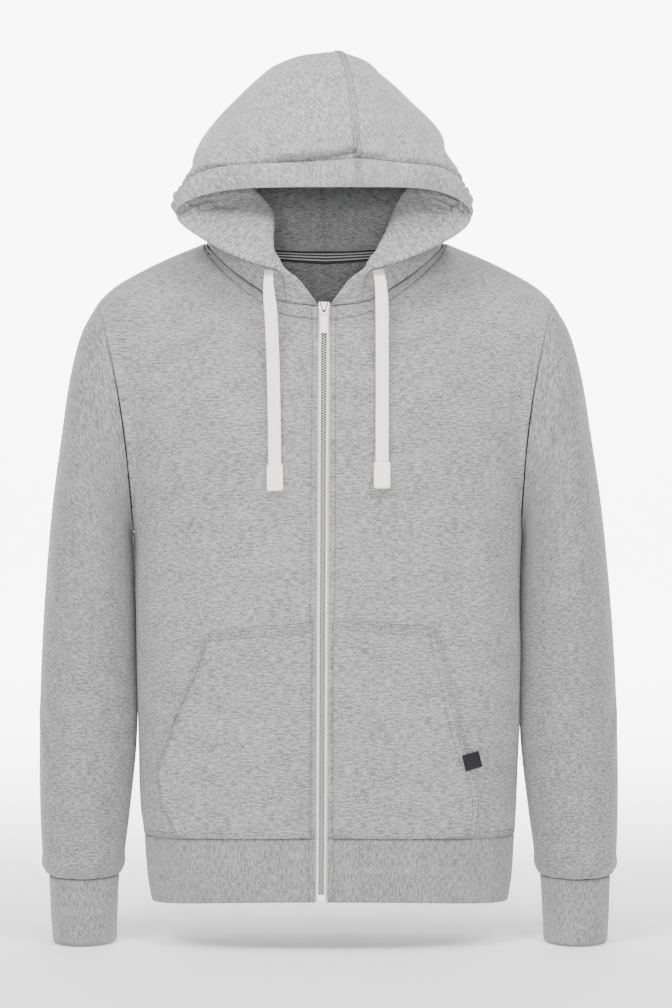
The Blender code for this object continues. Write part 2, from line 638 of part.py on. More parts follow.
def make_cuffs():
    angles = sleeve_angles()
    outer = [[oval_point(Vector((ring.outer_x, 0.0, ring.height)), Vector((ring.inner_x, 0.0, ring.height)),
                         ring.half_depth, ring.centre_y, 0.0, angle) for angle in angles]
             for ring in CUFF_RINGS]
    normals = grid_normals(outer, True)
    for row in range(len(outer)):
        level_out(normals, row=row, axis=2)
    inner = offset_grid(outer, normals, -RIB_CLOTH)
    cloth_wall("cuff_left", outer, inner, "marl_rib", wraps=True)
    cloth_wall("cuff_right", mirrored(outer), mirrored(inner), "marl_rib", wraps=True)


# ---------------------------------------------------------------- hem band
def hem_line(ring):
    """A ring of the hem band from the left zip edge round the back to the right zip edge."""
    front = NECK_FRONT_COLUMNS + SHOULDER_COLUMNS
    back = [2.0 + column for column in (0.2, 0.4, 0.6, 0.8, 1.0)]
    back += [3.0 + column for column in (0.12, 0.25, 0.38, 0.5, 0.63, 0.75, 0.88, 1.0)]
    half = [ring_point(ring, column) for column in list(front) + back]
    return half + [Vector((-point.x, point.y, point.z)) for point in reversed(half[:-1])]


def make_hem_band():
    outer = [hem_line(ring) for ring in HEM_RINGS]
    normals = grid_normals(outer, False)
    for row in range(len(outer)):
        level_out(normals, row=row, axis=2)
    level_out(normals, column=0, axis=0)
    level_out(normals, column=-1, axis=0)
    cloth_wall("hem_band", outer, offset_grid(outer, normals, -RIB_CLOTH), "marl_rib")


# ---------------------------------------------------------------- hood
def hood_point(share, column):
    """A point of the left hood half: share 0 is the neck seam and 1 the top seam, column 0 is the rim."""
    keys = [0.0] + [row.share for row in HOOD_ROWS]
    points = [neck(column)]
    for row in HOOD_ROWS:
        stations = [Vector(place) for place in row[1:]]
        into_seam = Vector((-(stations[-1] - stations[-2]).length / 0.5, 0.0, 0.0))
        points.append(smooth(HOOD_COLUMNS, stations, column, into_seam if row.share < 1.0 else None))
    run = (points[-1] - points[-2]) / (keys[-1] - keys[-2])
    level = Vector((-run.length, 0.0, 0.0))
    return smooth(keys, points, share, run.lerp(level, ease(points[-2].x, 0.0, SEAM_ROUNDING)))


def seam_normals(points):
    """Normals along the centre seam, which lies in the plane between the hood halves."""
    ways = []
    for at, point in enumerate(points):
        run = points[min(at + 1, len(points) - 1)] - points[max(at - 1, 0)]
        way = Vector((0.0, -run.z, run.y)).normalized()
        if way.dot(point - HOOD_CENTRE) < 0.0:
            way = -way
        ways.append(way)
    return ways


def soften_folds(grid, columns):
    """Round off the front edge and the folds beside it, leaving the seams where they are."""
    for _ in range(FOLD_PASSES):
        before = [[point.copy() for point in line] for line in grid]
        for row in range(1, len(grid) - 1):
            for at, column in enumerate(columns[:-1]):
                around = [before[row - 1][at], before[row + 1][at]]
                pull = 0.5 * ease(HOOD_STEPS[row], 0.35, 0.48)
                if at > 0:
                    around += [before[row][at - 1], before[row][at + 1]]
                    pull = 0.5 * (1.0 - ease(column, 0.7, 1.2))
                grid[row][at] = before[row][at].lerp(sum(around, Vector()) / len(around), pull)


@lru_cache(maxsize=None)
def hood_grid():
    columns = NECK_FRONT_COLUMNS + NECK_BACK_COLUMNS[1:]
    grid = [[hood_point(share, column) for column in columns] for share in HOOD_STEPS]
    soften_folds(grid, columns)
    return columns, grid


@lru_cache(maxsize=None)
def neck_ways():
    """The way out of the cloth along the neck seam: halfway between the body's and the hood's."""
    columns, hood = hood_grid()
    ways = dict(zip(columns, grid_normals(hood, False)[0]))
    for front in (True, False):
        at_columns, grid = panel_grid(front)
        normals = grid_normals(grid, False)[-1]
        for column, normal in zip(at_columns, normals):
            if column <= 1.0:
                ways[column if front else 2.0 - column] += normal if front else -normal
    for column, way in ways.items():
        if column in (0.0, 2.0):
            way.x = 0.0
        if column == 1.0:
            way.y = 0.0
        way.normalize()
    return ways


def hood_skins():
    columns, plain = hood_grid()
    outer = [[point + Vector((SEAM_GAP / 2.0, 0.0, 0.0)) for point in line] for line in plain]
    for point in outer[0]:
        point.x -= SEAM_GAP / 2.0
        point.z += SEAM_GAP
    outer[0][-1].x += SEAM_GAP / 2.0
    normals = grid_normals(outer, False)
    normals[0] = [neck_ways()[column] for column in columns]
    top = len(outer) - 1
    seam = [line[-1] for line in outer] + list(reversed(outer[top][:-1]))
    ways = seam_normals(seam)
    for row in range(top + 1):
        normals[row][-1] = ways[row]
    for step in range(len(columns) - 1):
        normals[top][len(columns) - 2 - step] = ways[top + 1 + step]

    def thickness(row, column):
        tunnel = 1.0 - ease(columns[column], *TUNNEL_FADE)
        pinch = 1.0 - ease(abs(HOOD_STEPS[row] - CORNER_SHARE), 0.0, CORNER_REACH)
        pinch *= 1.0 - ease(columns[column], 0.20, 0.45)
        return -(CLOTH * (1.0 - 0.5 * pinch) + TUNNEL_EXTRA * tunnel * ease(row, 0, 3) * (1.0 - pinch))

    return outer, offset_grid(outer, normals, thickness)


def make_hood():
    outer, inner = hood_skins()
    cloth_wall("hood_left", outer, inner, "marl_jersey")
    cloth_wall("hood_right", mirrored(outer), mirrored(inner), "marl_jersey")


def make_neck_tape():
    """The striped tape that covers the neck seam inside the back neck."""
    _, back_inner = panel_skins(False)
    _, hood_inner = hood_skins()
    first = len(NECK_FRONT_COLUMNS)
    rows = [[], [], []]
    for at in range(NECK_TAPE_FIRST, len(NECK_BACK_COLUMNS)):
        under = [line[len(NECK_BACK_COLUMNS) - 1 - at] for line in back_inner[-2:]]
        over = [line[first - 1 + at] for line in hood_inner[:2]]
        inward = neck_ways()[NECK_BACK_COLUMNS[at]] * -NECK_TAPE_GAP
        low = under[1].lerp(under[0], NECK_TAPE_BELOW / (under[1] - under[0]).length)
        high = over[0].lerp(over[1], NECK_TAPE_ABOVE / (over[1] - over[0]).length)
        for row, point in zip(rows, (low, over[0], high)):
            row.append(point + inward)
    outer = [line + [Vector((-point.x, point.y, point.z)) for point in reversed(line[:-1])] for line in rows]
    normals = grid_normals(outer, False)
    cloth_wall("neck_tape", outer, offset_grid(outer, normals, -NECK_TAPE_THICKNESS), "striped_tape")


# ---------------------------------------------------------------- pockets and label
def front_at(x, z):
    """The climb and column of the left front's point that faces the wearer's front at x and z."""
    climb = z - BODY_RINGS[0].height
    column = 1.0
    for _ in range(FACING_TRIES):
        point = panel_point(True, climb, column)
        climb += (z - point.z) * FACING_CLIMB_PACE
        column += (x - point.x) * FACING_COLUMN_PACE
        climb = min(max(climb, 0.0), YOKE_TOP_CLIMB)
        column = min(max(column, 0.0), SHOULDER_COLUMNS[-1] - SLOPE_STEP)
    return climb, column


def front_point(x, z, lift):
    """A point that lies lift in front of the left front's outer face."""
    climb, column = front_at(x, z)
    here = panel_point(True, climb, column)
    across = panel_point(True, climb, column + SLOPE_STEP) - panel_point(True, climb, column - SLOPE_STEP)
    under = panel_point(True, max(climb - SLOPE_STEP, 0.0), column)
    upward = panel_point(True, climb + SLOPE_STEP, column) - under
    return here + across.cross(upward).normalized() * lift


def pocket_grid(side, lift):
    edges = POCKET_EDGES[side]
    top_centre = POCKET_TOP_CENTRE[side]
    foot_centre = edges[0].height + POCKET_FOOT_RISE
    grid = []
    for edge in edges:
        rise = (edge.height - edges[0].height) / (edges[-1].height - edges[0].height)
        centre = foot_centre + (top_centre - foot_centre) * rise
        line = []
        for step in range(POCKET_COLUMNS + 1):
            share = step / POCKET_COLUMNS
            x = POCKET_INNER_X + (edge.outer_x - POCKET_INNER_X) * share
            z = centre + (edge.height - centre) * share
            line.append(front_point(x, z, lift))
        grid.append(line)
    return grid


def make_pockets():
    for side, sign in SIDES.items():
        inner = pocket_grid(side, POCKET_GAP)
        outer = pocket_grid(side, POCKET_GAP + POCKET_CLOTH)
        if sign < 0.0:
            inner = mirrored(inner)
            outer = mirrored(outer)
        cloth_wall("pocket_" + side, outer, inner, "marl_jersey")


def make_label():
    """A small plain woven label on the edge of the left pocket."""
    x, z = LABEL_PLACE["left"]
    half = LABEL_SIDE / 2.0
    lift = POCKET_GAP + POCKET_CLOTH + LABEL_LIFT
    rows = []
    for up in (-half, 0.0, half):
        rows.append([(x + side + up * LABEL_TILT, z + up - side * LABEL_TILT) for side in (-half, 0.0, half)])
    inner = [[front_point(at_x, at_z, lift) for at_x, at_z in line] for line in rows]
    outer = [[front_point(at_x, at_z, lift + LABEL_THICKNESS) for at_x, at_z in line] for line in rows]
    cloth_wall("pocket_label", outer, inner, "label_black")


# ---------------------------------------------------------------- zip
def zip_line():
    """The cloth's outer face along the zip edge, hem to neck, on the rows of the hem band and the front."""
    hem = [hem_line(ring)[0] for ring in HEM_RINGS]
    _, grid = panel_grid(True)
    return hem + [line[0] for line in grid[1:]]


def on_line(line, height):
    """The point of a rising line at a height."""
    for low, high in zip(line, line[1:]):
        if height <= high.z or high is line[-1]:
            return low.lerp(high, (height - low.z) / (high.z - low.z))
    return line[-1]


def centre_front(height):
    """How far forward the cloth's outer face lies at the zip edge."""
    return on_line(zip_line(), height).y


def zip_strip(name, x_low, x_high, y_front, y_back, low, high, material):
    """A strip along the zip, from x_low to x_high, between two depths behind the cloth's outer face."""
    line = zip_line()
    stops = [on_line(line, low)] + [point for point in line
                                  if low + ZIP_END_SPACE < point.z < high - ZIP_END_SPACE]
    stops.append(on_line(line, high))
    outer = [[Vector((x, point.y + y_front, point.z)) for x in (x_low, x_high)] for point in stops]
    inner = [[Vector((x, point.y + y_back, point.z)) for x in (x_low, x_high)] for point in stops]
    return cloth_wall(name, outer, inner, material)


def make_zip():
    bottom = HEM_RINGS[0].height + HEM_RINGS[0].front_lift
    tape_front = RIB_CLOTH + TAPE_BEHIND_CLOTH
    for side, sign in SIDES.items():
        tape = sorted((sign * TAPE_INNER_EDGE, sign * TAPE_OUTER_EDGE))
        teeth = sorted((sign * SEAM_GAP / 2.0, sign * TEETH_HALF_WIDTH))
        zip_strip("zip_tape_" + side, tape[0], tape[1], tape_front, tape_front + TAPE_THICKNESS,
                  bottom, ZIP_TOP, "cream_cotton")
        zip_strip("zip_teeth_" + side, teeth[0], teeth[1], -TEETH_PROUD, tape_front - SEAM_GAP,
                  ZIP_BOX_TOP + SEAM_GAP, SLIDER_BOTTOM - SEAM_GAP, "zip_metal")
    zip_strip("zip_bottom_box", -ZIP_BOX_HALF_WIDTH, ZIP_BOX_HALF_WIDTH, -ZIP_BOX_PROUD,
              tape_front - SEAM_GAP, bottom, ZIP_BOX_TOP, "zip_metal")


def box_mesh(low, high, bevel):
    bm = bmesh.new()
    bmesh.ops.create_cube(bm, size=1.0)
    size = high - low
    bmesh.ops.scale(bm, verts=bm.verts, vec=size)
    bmesh.ops.translate(bm, verts=bm.verts, vec=(low + high) / 2.0)
    bmesh.ops.bevel(bm, geom=bm.edges, offset=bevel, segments=2, profile=0.5, affect="EDGES", material=-1)
    return bm


def rod_mesh(radius, half_length, sides=16):
    """A rod along X at the origin."""
    bm = bmesh.new()
    bmesh.ops.create_cone(bm, cap_ends=True, segments=sides, radius1=radius, radius2=radius,
                          depth=2.0 * half_length)
    bmesh.ops.rotate(bm, verts=bm.verts, matrix=Matrix.Rotation(math.radians(90.0), 3, "Y"))
    return bm


def hide_tool(piece):
    piece.hide_render = True
    piece.hide_viewport = True
    piece.display_type = "WIRE"


def joined(base, tools):
    """Join tools into base with exact unions, or cut them away where they are marked as cuts."""
    for tool, operation in tools:
        modifier = base.modifiers.new(tool.name, "BOOLEAN")
        modifier.operation = operation
        modifier.object = tool
        modifier.solver = "EXACT"
        hide_tool(tool)
    return base


def pivot_point():
    front = centre_front(TAB_PIVOT_HEIGHT)
    return settle(Vector((0.0, front - PIVOT_STANDOFF, TAB_PIVOT_HEIGHT)))


def make_slider():
    """Slider body between the zip edges, with two ears and a pin that carry the pull tab."""
    pivot = pivot_point()
    front = centre_front(TAB_PIVOT_HEIGHT)
    low = Vector((pivot.x - SLIDER_HALF_WIDTH, front - SLIDER_PROUD, SLIDER_BOTTOM))
    high = Vector((pivot.x + SLIDER_HALF_WIDTH, front + SLIDER_BEHIND, SLIDER_TOP))
    body = box_mesh(low, high, SLIDER_EASING)
    for vert in body.verts:
        if vert.co.z > (low.z + high.z) / 2.0:
            vert.co.x = pivot.x + (vert.co.x - pivot.x) * SLIDER_FLARE
    slider = add_object("zip_slider", body, "cream_lacquer")
    tools = []
    for side, sign in SIDES.items():
        edges = sorted((pivot.x + sign * EAR_INNER_X, pivot.x + sign * EAR_OUTER_X))
        ear = box_mesh(Vector((edges[0], pivot.y - EAR_FORWARD, TAB_PIVOT_HEIGHT - EAR_BELOW)),
                       Vector((edges[1], front - EAR_SUNK, TAB_PIVOT_HEIGHT + EAR_ABOVE)), EAR_EASING)
        tools.append((add_object("slider_ear_tool_" + side, ear, "cream_lacquer"), "UNION"))
    pin = rod_mesh(PIN_RADIUS, PIN_HALF_LENGTH)
    bmesh.ops.translate(pin, verts=pin.verts, vec=pivot)
    tools.append((add_object("slider_pin_tool", pin, "cream_lacquer"), "UNION"))
    return joined(slider, tools)


def make_pull_tab():
    """Pull tab, hanging from the slider's pin, with its origin on the pin's axis."""
    pivot = pivot_point()
    plate = box_mesh(Vector((-TAB_WIDTH / 2.0, -TAB_THICKNESS / 2.0, -TAB_LENGTH)),
                     Vector((TAB_WIDTH / 2.0, TAB_THICKNESS / 2.0, -EYE_OUTER_RADIUS - TAB_SHOULDER)),
                     TAB_EASING)
    tab = add_object("zip_pull_tab", plate, "cream_lacquer")
    stem_foot = -EYE_OUTER_RADIUS - TAB_SHOULDER - STEM_OVERLAP
    stem_plate = box_mesh(Vector((-STEM_HALF_WIDTH, -TAB_THICKNESS / 2.0, stem_foot)),
                          Vector((STEM_HALF_WIDTH, TAB_THICKNESS / 2.0, -STEM_TOP)), STEM_EASING)
    stem = add_object("tab_stem_tool", stem_plate, "cream_lacquer")
    eye_rod = rod_mesh(EYE_OUTER_RADIUS, STEM_HALF_WIDTH, EYE_SIDES)
    eye = add_object("tab_eye_tool", eye_rod, "cream_lacquer")
    hole_rod = rod_mesh(EYE_INNER_RADIUS, HOLE_HALF_LENGTH, EYE_SIDES)
    hole = add_object("tab_hole_tool", hole_rod, "cream_lacquer")
    joined(tab, [(stem, "UNION"), (eye, "UNION"), (hole, "DIFFERENCE")])
    for piece in (tab, stem, eye, hole):
        piece.location = pivot
    return tab


# ---------------------------------------------------------------- drawcords
def cord_points(side):
    """Evenly spaced points on the smooth curve through a cord's stops."""
    stops = [Vector(stop) for stop in CORD_ROUTES[side]]
    keys = [0.0]
    for before, after in zip(stops, stops[1:]):
        keys.append(keys[-1] + (after - before).length)
    return [smooth(keys, stops, keys[-1] * step / (CORD_POINTS - 1)) for step in range(CORD_POINTS)]


def butt_onto(ring, run, wall):
    """Move a ring of vertices back along a cord's run until it meets the wall that the cord comes out of."""
    faces = [face.vertices for face in wall.polygons]
    tree = BVHTree.FromPolygons([vert.co for vert in wall.vertices], faces)
    for vert in ring:
        start = vert.co + run * CORD_SEARCH
        hit = tree.ray_cast(start, -run)[0]
        vert.co = hit + run * CORD_TOUCH


def flat_cord(name, points, width, thickness, material, wall=None):
    """A flat woven cord: an oval section swept down the points, broad side to the front, ends closed."""
    bm = bmesh.new()
    rings = []
    for at, point in enumerate(points):
        run = (points[min(at + 1, len(points) - 1)] - points[max(at - 1, 0)]).normalized()
        through = Vector((1.0, 0.0, 0.0)).cross(run).normalized()
        across = run.cross(through)
        ring = []
        for side in range(CORD_SIDES):
            turn = 2.0 * math.pi * side / CORD_SIDES
            x = math.copysign(abs(math.cos(turn)) ** CORD_SQUARENESS, math.cos(turn)) * width / 2.0
            y = math.copysign(abs(math.sin(turn)) ** CORD_SQUARENESS, math.sin(turn)) * thickness / 2.0
            ring.append(bm.verts.new(settle(point + across * x + through * y)))
        rings.append(ring)
    if wall is not None:
        butt_onto(rings[0], (points[1] - points[0]).normalized(), wall)
    for upper, lower in zip(rings, rings[1:]):
        for side in range(CORD_SIDES):
            after = (side + 1) % CORD_SIDES
            bm.faces.new([upper[side], upper[after], lower[after], lower[side]])
    bm.faces.new(list(reversed(rings[0])))
    bm.faces.new(rings[-1])
    bmesh.ops.recalc_face_normals(bm, faces=bm.faces)
    piece = add_object(name, bm, material)
    piece.data.shade_smooth()
    piece.data.set_sharp_from_angle(angle=math.radians(60))
    return piece


def make_cords():
    for side in SIDES:
        points = cord_points(side)
        hood = bpy.data.objects["hood_" + side].data
        flat_cord("drawcord_" + side, points, CORD_WIDTH, CORD_THICKNESS, "cream_cotton", hood)
        run = (points[-1] - points[-2]).normalized()
        ends = [points[-1] + run * (CORD_END_LENGTH * step / 2.0) for step in range(3)]
        flat_cord("drawcord_end_" + side, ends, CORD_END_WIDTH, CORD_END_THICKNESS, "cream_cotton")


# ---------------------------------------------------------------- the whole garment
def clear_scene():
    for piece in list(bpy.data.objects):
        bpy.data.objects.remove(piece, do_unlink=True)


def main():
    clear_scene()
    make_fronts()
    make_back()
    make_sleeves()
    make_cuffs()
    make_hem_band()
    make_hood()
    make_neck_tape()
    make_pockets()
    make_label()
    make_zip()
    make_slider()
    make_pull_tab()
    make_cords()


main()
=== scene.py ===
import math
from collections import namedtuple

import bmesh
import bpy
import numpy as np
from mathutils import Matrix, Vector
from mathutils.bvhtree import BVHTree


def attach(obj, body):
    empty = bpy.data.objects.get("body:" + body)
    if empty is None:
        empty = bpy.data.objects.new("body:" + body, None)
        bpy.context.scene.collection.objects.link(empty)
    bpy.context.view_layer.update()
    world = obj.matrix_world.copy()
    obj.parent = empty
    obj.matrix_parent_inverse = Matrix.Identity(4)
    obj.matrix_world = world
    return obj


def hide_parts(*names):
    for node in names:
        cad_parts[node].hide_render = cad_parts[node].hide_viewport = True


# %% [markdown]
# A zip-up hoodie, filled out as if worn, with nobody in it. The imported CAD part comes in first. Every
# surface below is worked out from the same short tables as the CAD solids, only finer, so the cloth lies on
# the solids' form. Lengths are in metres, +Z is up, the front faces -Y and the wearer's left is +X.

# %% The frame
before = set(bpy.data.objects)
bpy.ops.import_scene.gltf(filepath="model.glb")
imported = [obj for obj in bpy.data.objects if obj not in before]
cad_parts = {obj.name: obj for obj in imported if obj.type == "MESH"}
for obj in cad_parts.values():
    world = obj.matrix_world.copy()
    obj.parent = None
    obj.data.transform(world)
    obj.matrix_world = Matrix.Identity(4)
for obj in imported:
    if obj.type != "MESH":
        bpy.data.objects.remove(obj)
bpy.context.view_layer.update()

# %% [markdown]
# Sizes first. Sweatshirt cloth is about 2.4 mm thick, brushed on the inside. Rib is folded double, so it is
# thicker. The zip is a common metal one whose closed teeth are 6 mm wide. Keeping every size in one place
# makes the garment easy to change later.

# %% Driving sizes
CLOTH = 0.0024
RIB_CLOTH = 0.0030
TUNNEL_PUFF = 0.0056
TUNNEL_COLUMN = 0.16
POCKET_CLOTH = 0.0018
POCKET_GAP = 0.0009
SEAM_GAP = 0.0003

SHOULDER_TIP = np.array((0.238, 0.0, -0.062))
ARMPIT = np.array((0.202, 0.0, -0.300))
ARMHOLE_HALF_DEPTH = 0.068
ARMHOLE_BOW = 0.0105
BODY_EXPONENT = 2.4
ARMPIT_CLIMB = 0.315
YOKE_TOP_CLIMB = 0.575

ZIP_EDGE = 0.0062
ZIP_TOP = -0.0740
ZIP_BOX_TOP = -0.6680
SLIDER_TOP = -0.0712
SLIDER_BOTTOM = -0.0862
TAB_PIVOT_HEIGHT = -0.0835
PIVOT_STANDOFF = 0.0053
TOOTH_PITCH = 0.0026

CORD_WIDTH = 0.0130
CORD_THICKNESS = 0.0030
CORD_END_WIDTH = 0.0164
CORD_END_THICKNESS = 0.0046
CORD_END_LENGTH = 0.0265

HANG_DRIFT = 0.0075
ZIP_DRIFT = 0.0085
HOOD_TURN = 0.14
HOOD_SHIFT = 0.013
HOOD_SPREAD = 0.0078
HOOD_TUCK = 0.0065
CROWN_LIFT = 0.0062
CROWN_LIFT_X = -0.045
CROWN_LIFT_REACH = 0.035

# Half widths within which the body, the crown and the hood's centre seam take part in the lean.
BODY_REACH, CROWN_REACH, SEAM_REACH = 0.200, 0.160, 0.055
BODY_LENGTH = 0.68

SIDES = {"left": 1.0, "right": -1.0}
MIRROR = np.array((-1.0, 1.0, 1.0))

# %% [markdown]
# The body is a stack of rounded rings, from the hem seam to the armpits, and then a yoke of rows that run
# from the centre to the armhole, as a pattern cutter would draw them. Each table row is one section. A
# smooth curve through a few good sections looks more like cloth than many sections that don't agree.

# %% Tables of sections
Ring = namedtuple("Ring", "climb height half_width front_depth back_depth front_lift")
BODY_RINGS = (
    Ring(0.000, -0.6185, 0.1940, 0.1065, 0.1080, 0.0075),
    Ring(0.035, -0.5850, 0.1965, 0.1110, 0.1120, 0.0060),
    Ring(0.100, -0.5200, 0.1990, 0.1170, 0.1130, 0.0040),
    Ring(0.170, -0.4500, 0.2002, 0.1220, 0.1150, 0.0020),
    Ring(0.240, -0.3800, 0.2012, 0.1260, 0.1210, 0.0000),
    Ring(0.315, -0.3000, 0.2020, 0.1270, 0.1300, 0.0000),
)
HEM_RINGS = (
    Ring(0.000, -0.6865, 0.1862, 0.1015, 0.1030, 0.0100),
    Ring(0.022, -0.6640, 0.1905, 0.1048, 0.1060, 0.0090),
    Ring(0.066, -0.6188, 0.1938, 0.1063, 0.1078, 0.0075),
)

Yoke = namedtuple("Yoke", "climb armhole_angle centre inner middle outer shoulder")
FRONT_YOKES = (
    Yoke(0.365, 130, (0.0062, -0.1280, -0.262), (0.060, -0.1265, -0.252), (0.112, -0.1175, -0.222),
         (0.154, -0.0990, -0.208), (0.187, -0.0760, -0.208)),
    Yoke(0.425, 95, (0.0062, -0.1270, -0.213), (0.061, -0.1255, -0.193), (0.111, -0.1135, -0.148),
         (0.153, -0.0925, -0.135), (0.189, -0.0770, -0.140)),
    Yoke(0.485, 65, (0.0062, -0.1240, -0.160), (0.066, -0.1215, -0.133), (0.114, -0.0970, -0.082),
         (0.152, -0.0730, -0.074), (0.193, -0.0630, -0.086)),
    Yoke(0.535, 36, (0.0062, -0.1190, -0.112), (0.072, -0.1110, -0.083), (0.119, -0.0660, -0.035),
         (0.150, -0.0400, -0.026), (0.197, -0.0370, -0.050)),
)
BACK_YOKES = (
    Yoke(0.365, 130, (0.0, 0.1320, -0.225), (0.060, 0.1310, -0.222), (0.113, 0.1210, -0.212),
         (0.155, 0.1010, -0.206), (0.187, 0.0770, -0.208)),
    Yoke(0.425, 95, (0.0, 0.1280, -0.150), (0.060, 0.1265, -0.143), (0.112, 0.1170, -0.130),
         (0.153, 0.0980, -0.133), (0.189, 0.0800, -0.140)),
    Yoke(0.485, 65, (0.0, 0.1180, -0.085), (0.060, 0.1140, -0.077), (0.113, 0.0980, -0.062),
         (0.152, 0.0780, -0.070), (0.193, 0.0650, -0.085)),
    Yoke(0.535, 36, (0.0, 0.1050, -0.035), (0.064, 0.0980, -0.027), (0.117, 0.0640, -0.015),
         (0.150, 0.0420, -0.024), (0.197, 0.0380, -0.049)),
)
YOKE_COLUMNS = (0.0, 0.4, 0.8, 1.2, 1.6, 2.0)

Stop = namedtuple("Stop", "column point")
NECK_FRONT = (
    Stop(0.000, (0.0062, -0.1130, -0.0750)), Stop(0.165, (0.0390, -0.1120, -0.0710)),
    Stop(0.290, (0.0605, -0.1050, -0.0614)), Stop(0.530, (0.0946, -0.0800, -0.0360)),
    Stop(0.790, (0.1180, -0.0400, -0.0120)), Stop(1.000, (0.1250, 0.0000, 0.0000)),
)
NECK_BACK = (
    Stop(1.00, (0.1250, 0.0000, 0.0000)), Stop(1.22, (0.1170, 0.0350, 0.0005)),
    Stop(1.43, (0.0980, 0.0640, -0.0010)), Stop(1.70, (0.0600, 0.0860, -0.0040)),
    Stop(2.00, (0.0000, 0.0950, -0.0060)),
)
SHOULDER_SEAM = (
    Stop(1.00, (0.1250, 0.0, 0.0000)), Stop(1.34, (0.1660, 0.0, -0.0170)),
    Stop(1.64, (0.2005, 0.0, -0.0340)), Stop(1.84, (0.2225, 0.0, -0.0475)),
    Stop(2.00, (0.2380, 0.0, -0.0620)),
)

SleeveRing = namedtuple("SleeveRing", "along outer_x outer_z inner_x inner_z half_depth centre_y bow")
SLEEVE_RINGS = (
    SleeveRing(0.000, 0.2380, -0.062, 0.2020, -0.300, 0.068, 0.000, 1.0),
    SleeveRing(0.037, 0.2555, -0.094, 0.2042, -0.306, 0.075, 0.000, 0.6),
    SleeveRing(0.086, 0.2680, -0.141, 0.2042, -0.313, 0.080, 0.000, 0.3),
    SleeveRing(0.141, 0.2765, -0.196, 0.2034, -0.322, 0.083, 0.001, 0.1),
    SleeveRing(0.217, 0.2870, -0.271, 0.2026, -0.340, 0.083, 0.001, 0.0),
    SleeveRing(0.286, 0.2935, -0.340, 0.2020, -0.375, 0.079, -0.002, 0.0),
    SleeveRing(0.370, 0.2990, -0.424, 0.2010, -0.440, 0.072, -0.006, 0.0),
    SleeveRing(0.455, 0.3015, -0.508, 0.2003, -0.513, 0.065, -0.011, 0.0),
    SleeveRing(0.540, 0.3010, -0.593, 0.2080, -0.593, 0.057, -0.016, 0.0),
    SleeveRing(0.592, 0.2975, -0.645, 0.2150, -0.645, 0.051, -0.020, 0.0),
    SleeveRing(0.606, 0.2925, -0.659, 0.2185, -0.659, 0.045, -0.021, 0.0),
)
CuffRing = namedtuple("CuffRing", "height outer_x inner_x half_depth centre_y")
CUFF_RINGS = (
    CuffRing(-0.7265, 0.2880, 0.2225, 0.0380, -0.022),
    CuffRing(-0.7050, 0.2900, 0.2215, 0.0400, -0.022),
    CuffRing(-0.6700, 0.2915, 0.2200, 0.0425, -0.021),
    CuffRing(-0.6593, 0.2922, 0.2188, 0.0445, -0.021),
)

